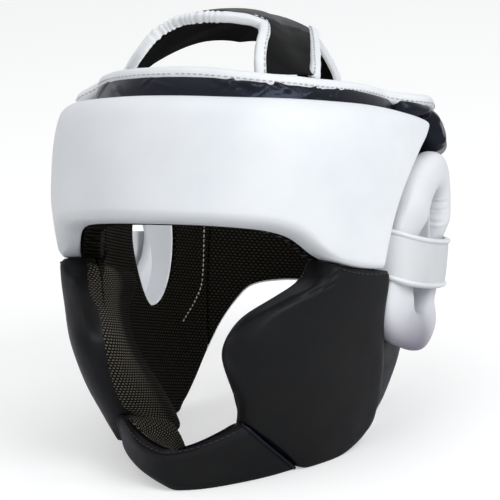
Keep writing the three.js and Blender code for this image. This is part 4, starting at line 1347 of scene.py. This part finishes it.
def stitch_row(name, path, outs, finish, radius, pitch=STITCH["pitch"]):
    """A row of sewn stitches lying along a path, each a small round-ended bead."""
    path = np.asarray(path, float)
    fine = even_path(path, pitch / 4)
    reach = [np.argmin(np.linalg.norm(path - p, axis=1)) for p in fine[2::4]]
    ways = along_path(fine)[2::4]
    points, faces = [], []
    ring = 2 * np.pi * np.arange(STITCH["sides"]) / STITCH["sides"]
    profile = [(-0.5, 0.25), (-0.36, 0.85), (0, 1.0), (0.36, 0.85), (0.5, 0.25)]
    for centre, near, way in zip(fine[2::4], reach, ways):
        out = unit(outs[near] - way * (outs[near] @ way))
        over = np.cross(way, out)
        first = len(points)
        for along, fat in profile:
            for turn in ring:
                points.append(centre + way * along * pitch * STITCH["long"] / STITCH["pitch"]
                              + (over * math.cos(turn) * 1.1 + out * math.sin(turn) * 0.8) * radius * fat)
        sides = STITCH["sides"]
        for r in range(len(profile) - 1):
            for k in range(sides):
                a = first + r * sides + k
                b = first + r * sides + (k + 1) % sides
                faces.append((a, b, b + sides, a + sides))
        faces.append(tuple(first + k for k in reversed(range(sides))))
        faces.append(tuple(first + (len(profile) - 1) * sides + k for k in range(sides)))
    piece = make_piece(name, np.array(points), faces)
    return finish_piece(piece, finish, levels=0)


def surface_path(place, u, v, lift=0.0):
    """A path on the outer sheet of a padded form, and the ways out of it."""
    points = place(u, v, 1)
    near_u = place(np.clip(u + 0.01, -1, 1), v, 1) - place(np.clip(u - 0.01, -1, 1), v, 1)
    near_v = place(u, np.clip(v + 0.01, 0, 1), 1) - place(u, np.clip(v - 0.01, 0, 1), 1)
    outs = unit(np.cross(near_u, near_v))
    outs = outs * np.sign(np.sum(outs * points * np.array([1, 1, 0]), axis=1, keepdims=True))
    return points + outs * lift, outs


def make_seams():
    k = np.linspace(0, 1, 80)
    path, outs = surface_path(chin_place, 2 * lerp(0.04, 0.96, k) - 1, np.full(k.shape, 0.93), 0.2)
    stitch_row("chin_stitches", path, outs, BLACK_THREAD, 0.45)
    for name, flip in SIDES:
        path, outs = surface_path(cheek_form(name), lerp(0.2, 0.88, k), np.full(k.shape, 0.975), 0.2)
        stitch_row(f"cheek_stitches_{name}", path * flip, outs * flip, BLACK_THREAD, 0.45)
        v = lerp(0.12, 0.97, k)
        thick = 0.9 if name == "left" else 0.5
        path, outs = surface_path(chin_place, np.full(k.shape, 0.995 * flip[0]), v, thick - 0.2)
        across = np.cross(along_path(path), outs)
        ridge = tube(f"chin_seam_piping_{name}", path, across, outs, thick, thick, 10, rests=True)
        finish_piece(ridge, GLOSS_BLACK, levels=0)
    z = np.linspace(-48, 60, 80)
    low = float(jaw_edge(BACK_START, SHELL["outer"])) + LOWER_BINDING_TALL + 0.6
    for name, flip in SIDES:
        path = on_head((SIDE["end"] + BACK_START) / 2, np.linspace(low, SHELL_TOP - 1, 60), 6.5)
        outs = unit(path * np.array([1, 1, 0]))
        across = np.cross(along_path(path), outs)
        welt = tube(f"back_seam_{name}", path * flip, across * flip, outs * flip, 0.9, 3.4, 8)
        finish_piece(welt, BLACK, levels=0)
        path = on_head(read(LINING_SEAM, "z", "angle", z), z, -2.3)
        outs = -unit(path * np.array([1, 1, 0]))
        stitch_row(f"lining_stitches_{name}", (path + outs * 0.2) * flip, outs * flip, PALE_THREAD, 0.4, 3.0)


# Floor, light and camera

# The photograph's camera in the upright frame: angles in degrees, millimetres.
CAMERA = {"azimuth": 26, "elevation": -2.85, "roll": 3.04, "distance": 1160, "target": (1.84, 0, -5.95)}
FOCAL_PIXELS = 2035
FRAME_PIXELS = 500
SENSOR_MM = 36


def make_camera():
    a, e = math.radians(CAMERA["azimuth"]), math.radians(CAMERA["elevation"])
    back = np.array([math.sin(a) * math.cos(e), -math.cos(a) * math.cos(e), math.sin(e)])
    right = np.array([math.cos(a), math.sin(a), 0.0])
    up = np.cross(back, right)
    r = math.radians(CAMERA["roll"])
    right, up = right * math.cos(r) + up * math.sin(r), up * math.cos(r) - right * math.sin(r)
    place = np.array(CAMERA["target"]) + back * CAMERA["distance"]
    origin = to_row(np.zeros(3))
    turned = [Vector((to_row(axis) - origin) * 1000) for axis in (right, up, back)]
    lens = bpy.data.cameras.new("view")
    lens.sensor_width = SENSOR_MM
    lens.lens = FOCAL_PIXELS / FRAME_PIXELS * SENSOR_MM
    lens.clip_end = 100
    camera = bpy.data.objects.new("view", lens)
    camera.matrix_world = Matrix.Translation(Vector(to_row(place))) @ Matrix(turned).transposed().to_4x4()
    bpy.context.scene.collection.objects.link(camera)
    bpy.context.scene.camera = camera


def make_floor():
    select_none()
    bpy.ops.mesh.primitive_plane_add(size=40)
    floor = bpy.context.object
    floor.name = "floor"
    finish, tree, shader = new_finish("pale_floor")
    shader.inputs["Base Color"].default_value = (0.7, 0.7, 0.7, 1)
    shader.inputs["Emission Color"].default_value = (1, 1, 1, 1)
    seen = math_node(tree, "MULTIPLY", (node(tree, "ShaderNodeLightPath"), "Is Camera Ray"), 0.4)
    join(tree, seen, 0, shader, "Emission Strength")
    shader.inputs["Roughness"].default_value = 0.9
    shader.inputs["Specular IOR Level"].default_value = 0.1
    floor.data.materials.append(finish)


def soft_box(name, place, behind, size, power, tint=(1, 1, 1)):
    """A square lamp at a place, facing away from what is behind it."""
    lamp = bpy.data.lights.new(name, "AREA")
    lamp.size = size
    lamp.energy = power
    lamp.color = tint
    box = bpy.data.objects.new(name, lamp)
    box.location = place
    box.rotation_euler = behind.to_track_quat("Z", "Y").to_euler()
    bpy.context.scene.collection.objects.link(box)
    return box


def soft_light(name, azimuth, elevation, distance, size, power, tint):
    """A soft box that faces the guard."""
    a, e = math.radians(azimuth), math.radians(elevation)
    aim = Vector((0, 0, 0.12))
    way = Vector((math.sin(a) * math.cos(e), -math.cos(a) * math.cos(e), math.sin(e)))
    soft_box(name, aim + way * distance, way, size, power, tint)


def inner_light():
    """A small soft box in the hollow, out of the camera's sight, that lights the far ear hole."""
    box = soft_box("inner", (0.045, -0.02, 0.15), Vector((1, -0.25, 0.1)), 0.06, 0.13)
    box.visible_camera = False


def make_light():
    inner_light()
    soft_light("key", 68, 36, 1.6, 0.9, 11.2, (0.97, 0.985, 1.0))
    soft_light("left", -100, 20, 1.6, 0.8, 1.0, (1.0, 0.97, 0.93))
    soft_light("top", 0, 80, 1.6, 1.4, 2.2, (0.98, 0.99, 1.0))
    world = bpy.data.worlds.new("studio")
    world.use_nodes = True
    sky = world.node_tree.nodes["Background"]
    sky.inputs["Color"].default_value = (0.98, 0.99, 1.0, 1)
    sky.inputs["Strength"].default_value = 0.71
    bpy.context.scene.world = world
    bpy.context.scene.view_settings.view_transform = "Standard"


make_camera()
make_forehead()
make_front_band()
make_side_walls()
make_linings()
make_back()
make_temples()
make_cheeks()
make_cheek_rolls()
make_chin()
make_ear_rings()
make_ear_bridges()
make_rim()
make_crown()
make_window_bindings()
make_lower_edge()
make_seams()
make_floor()
make_light()
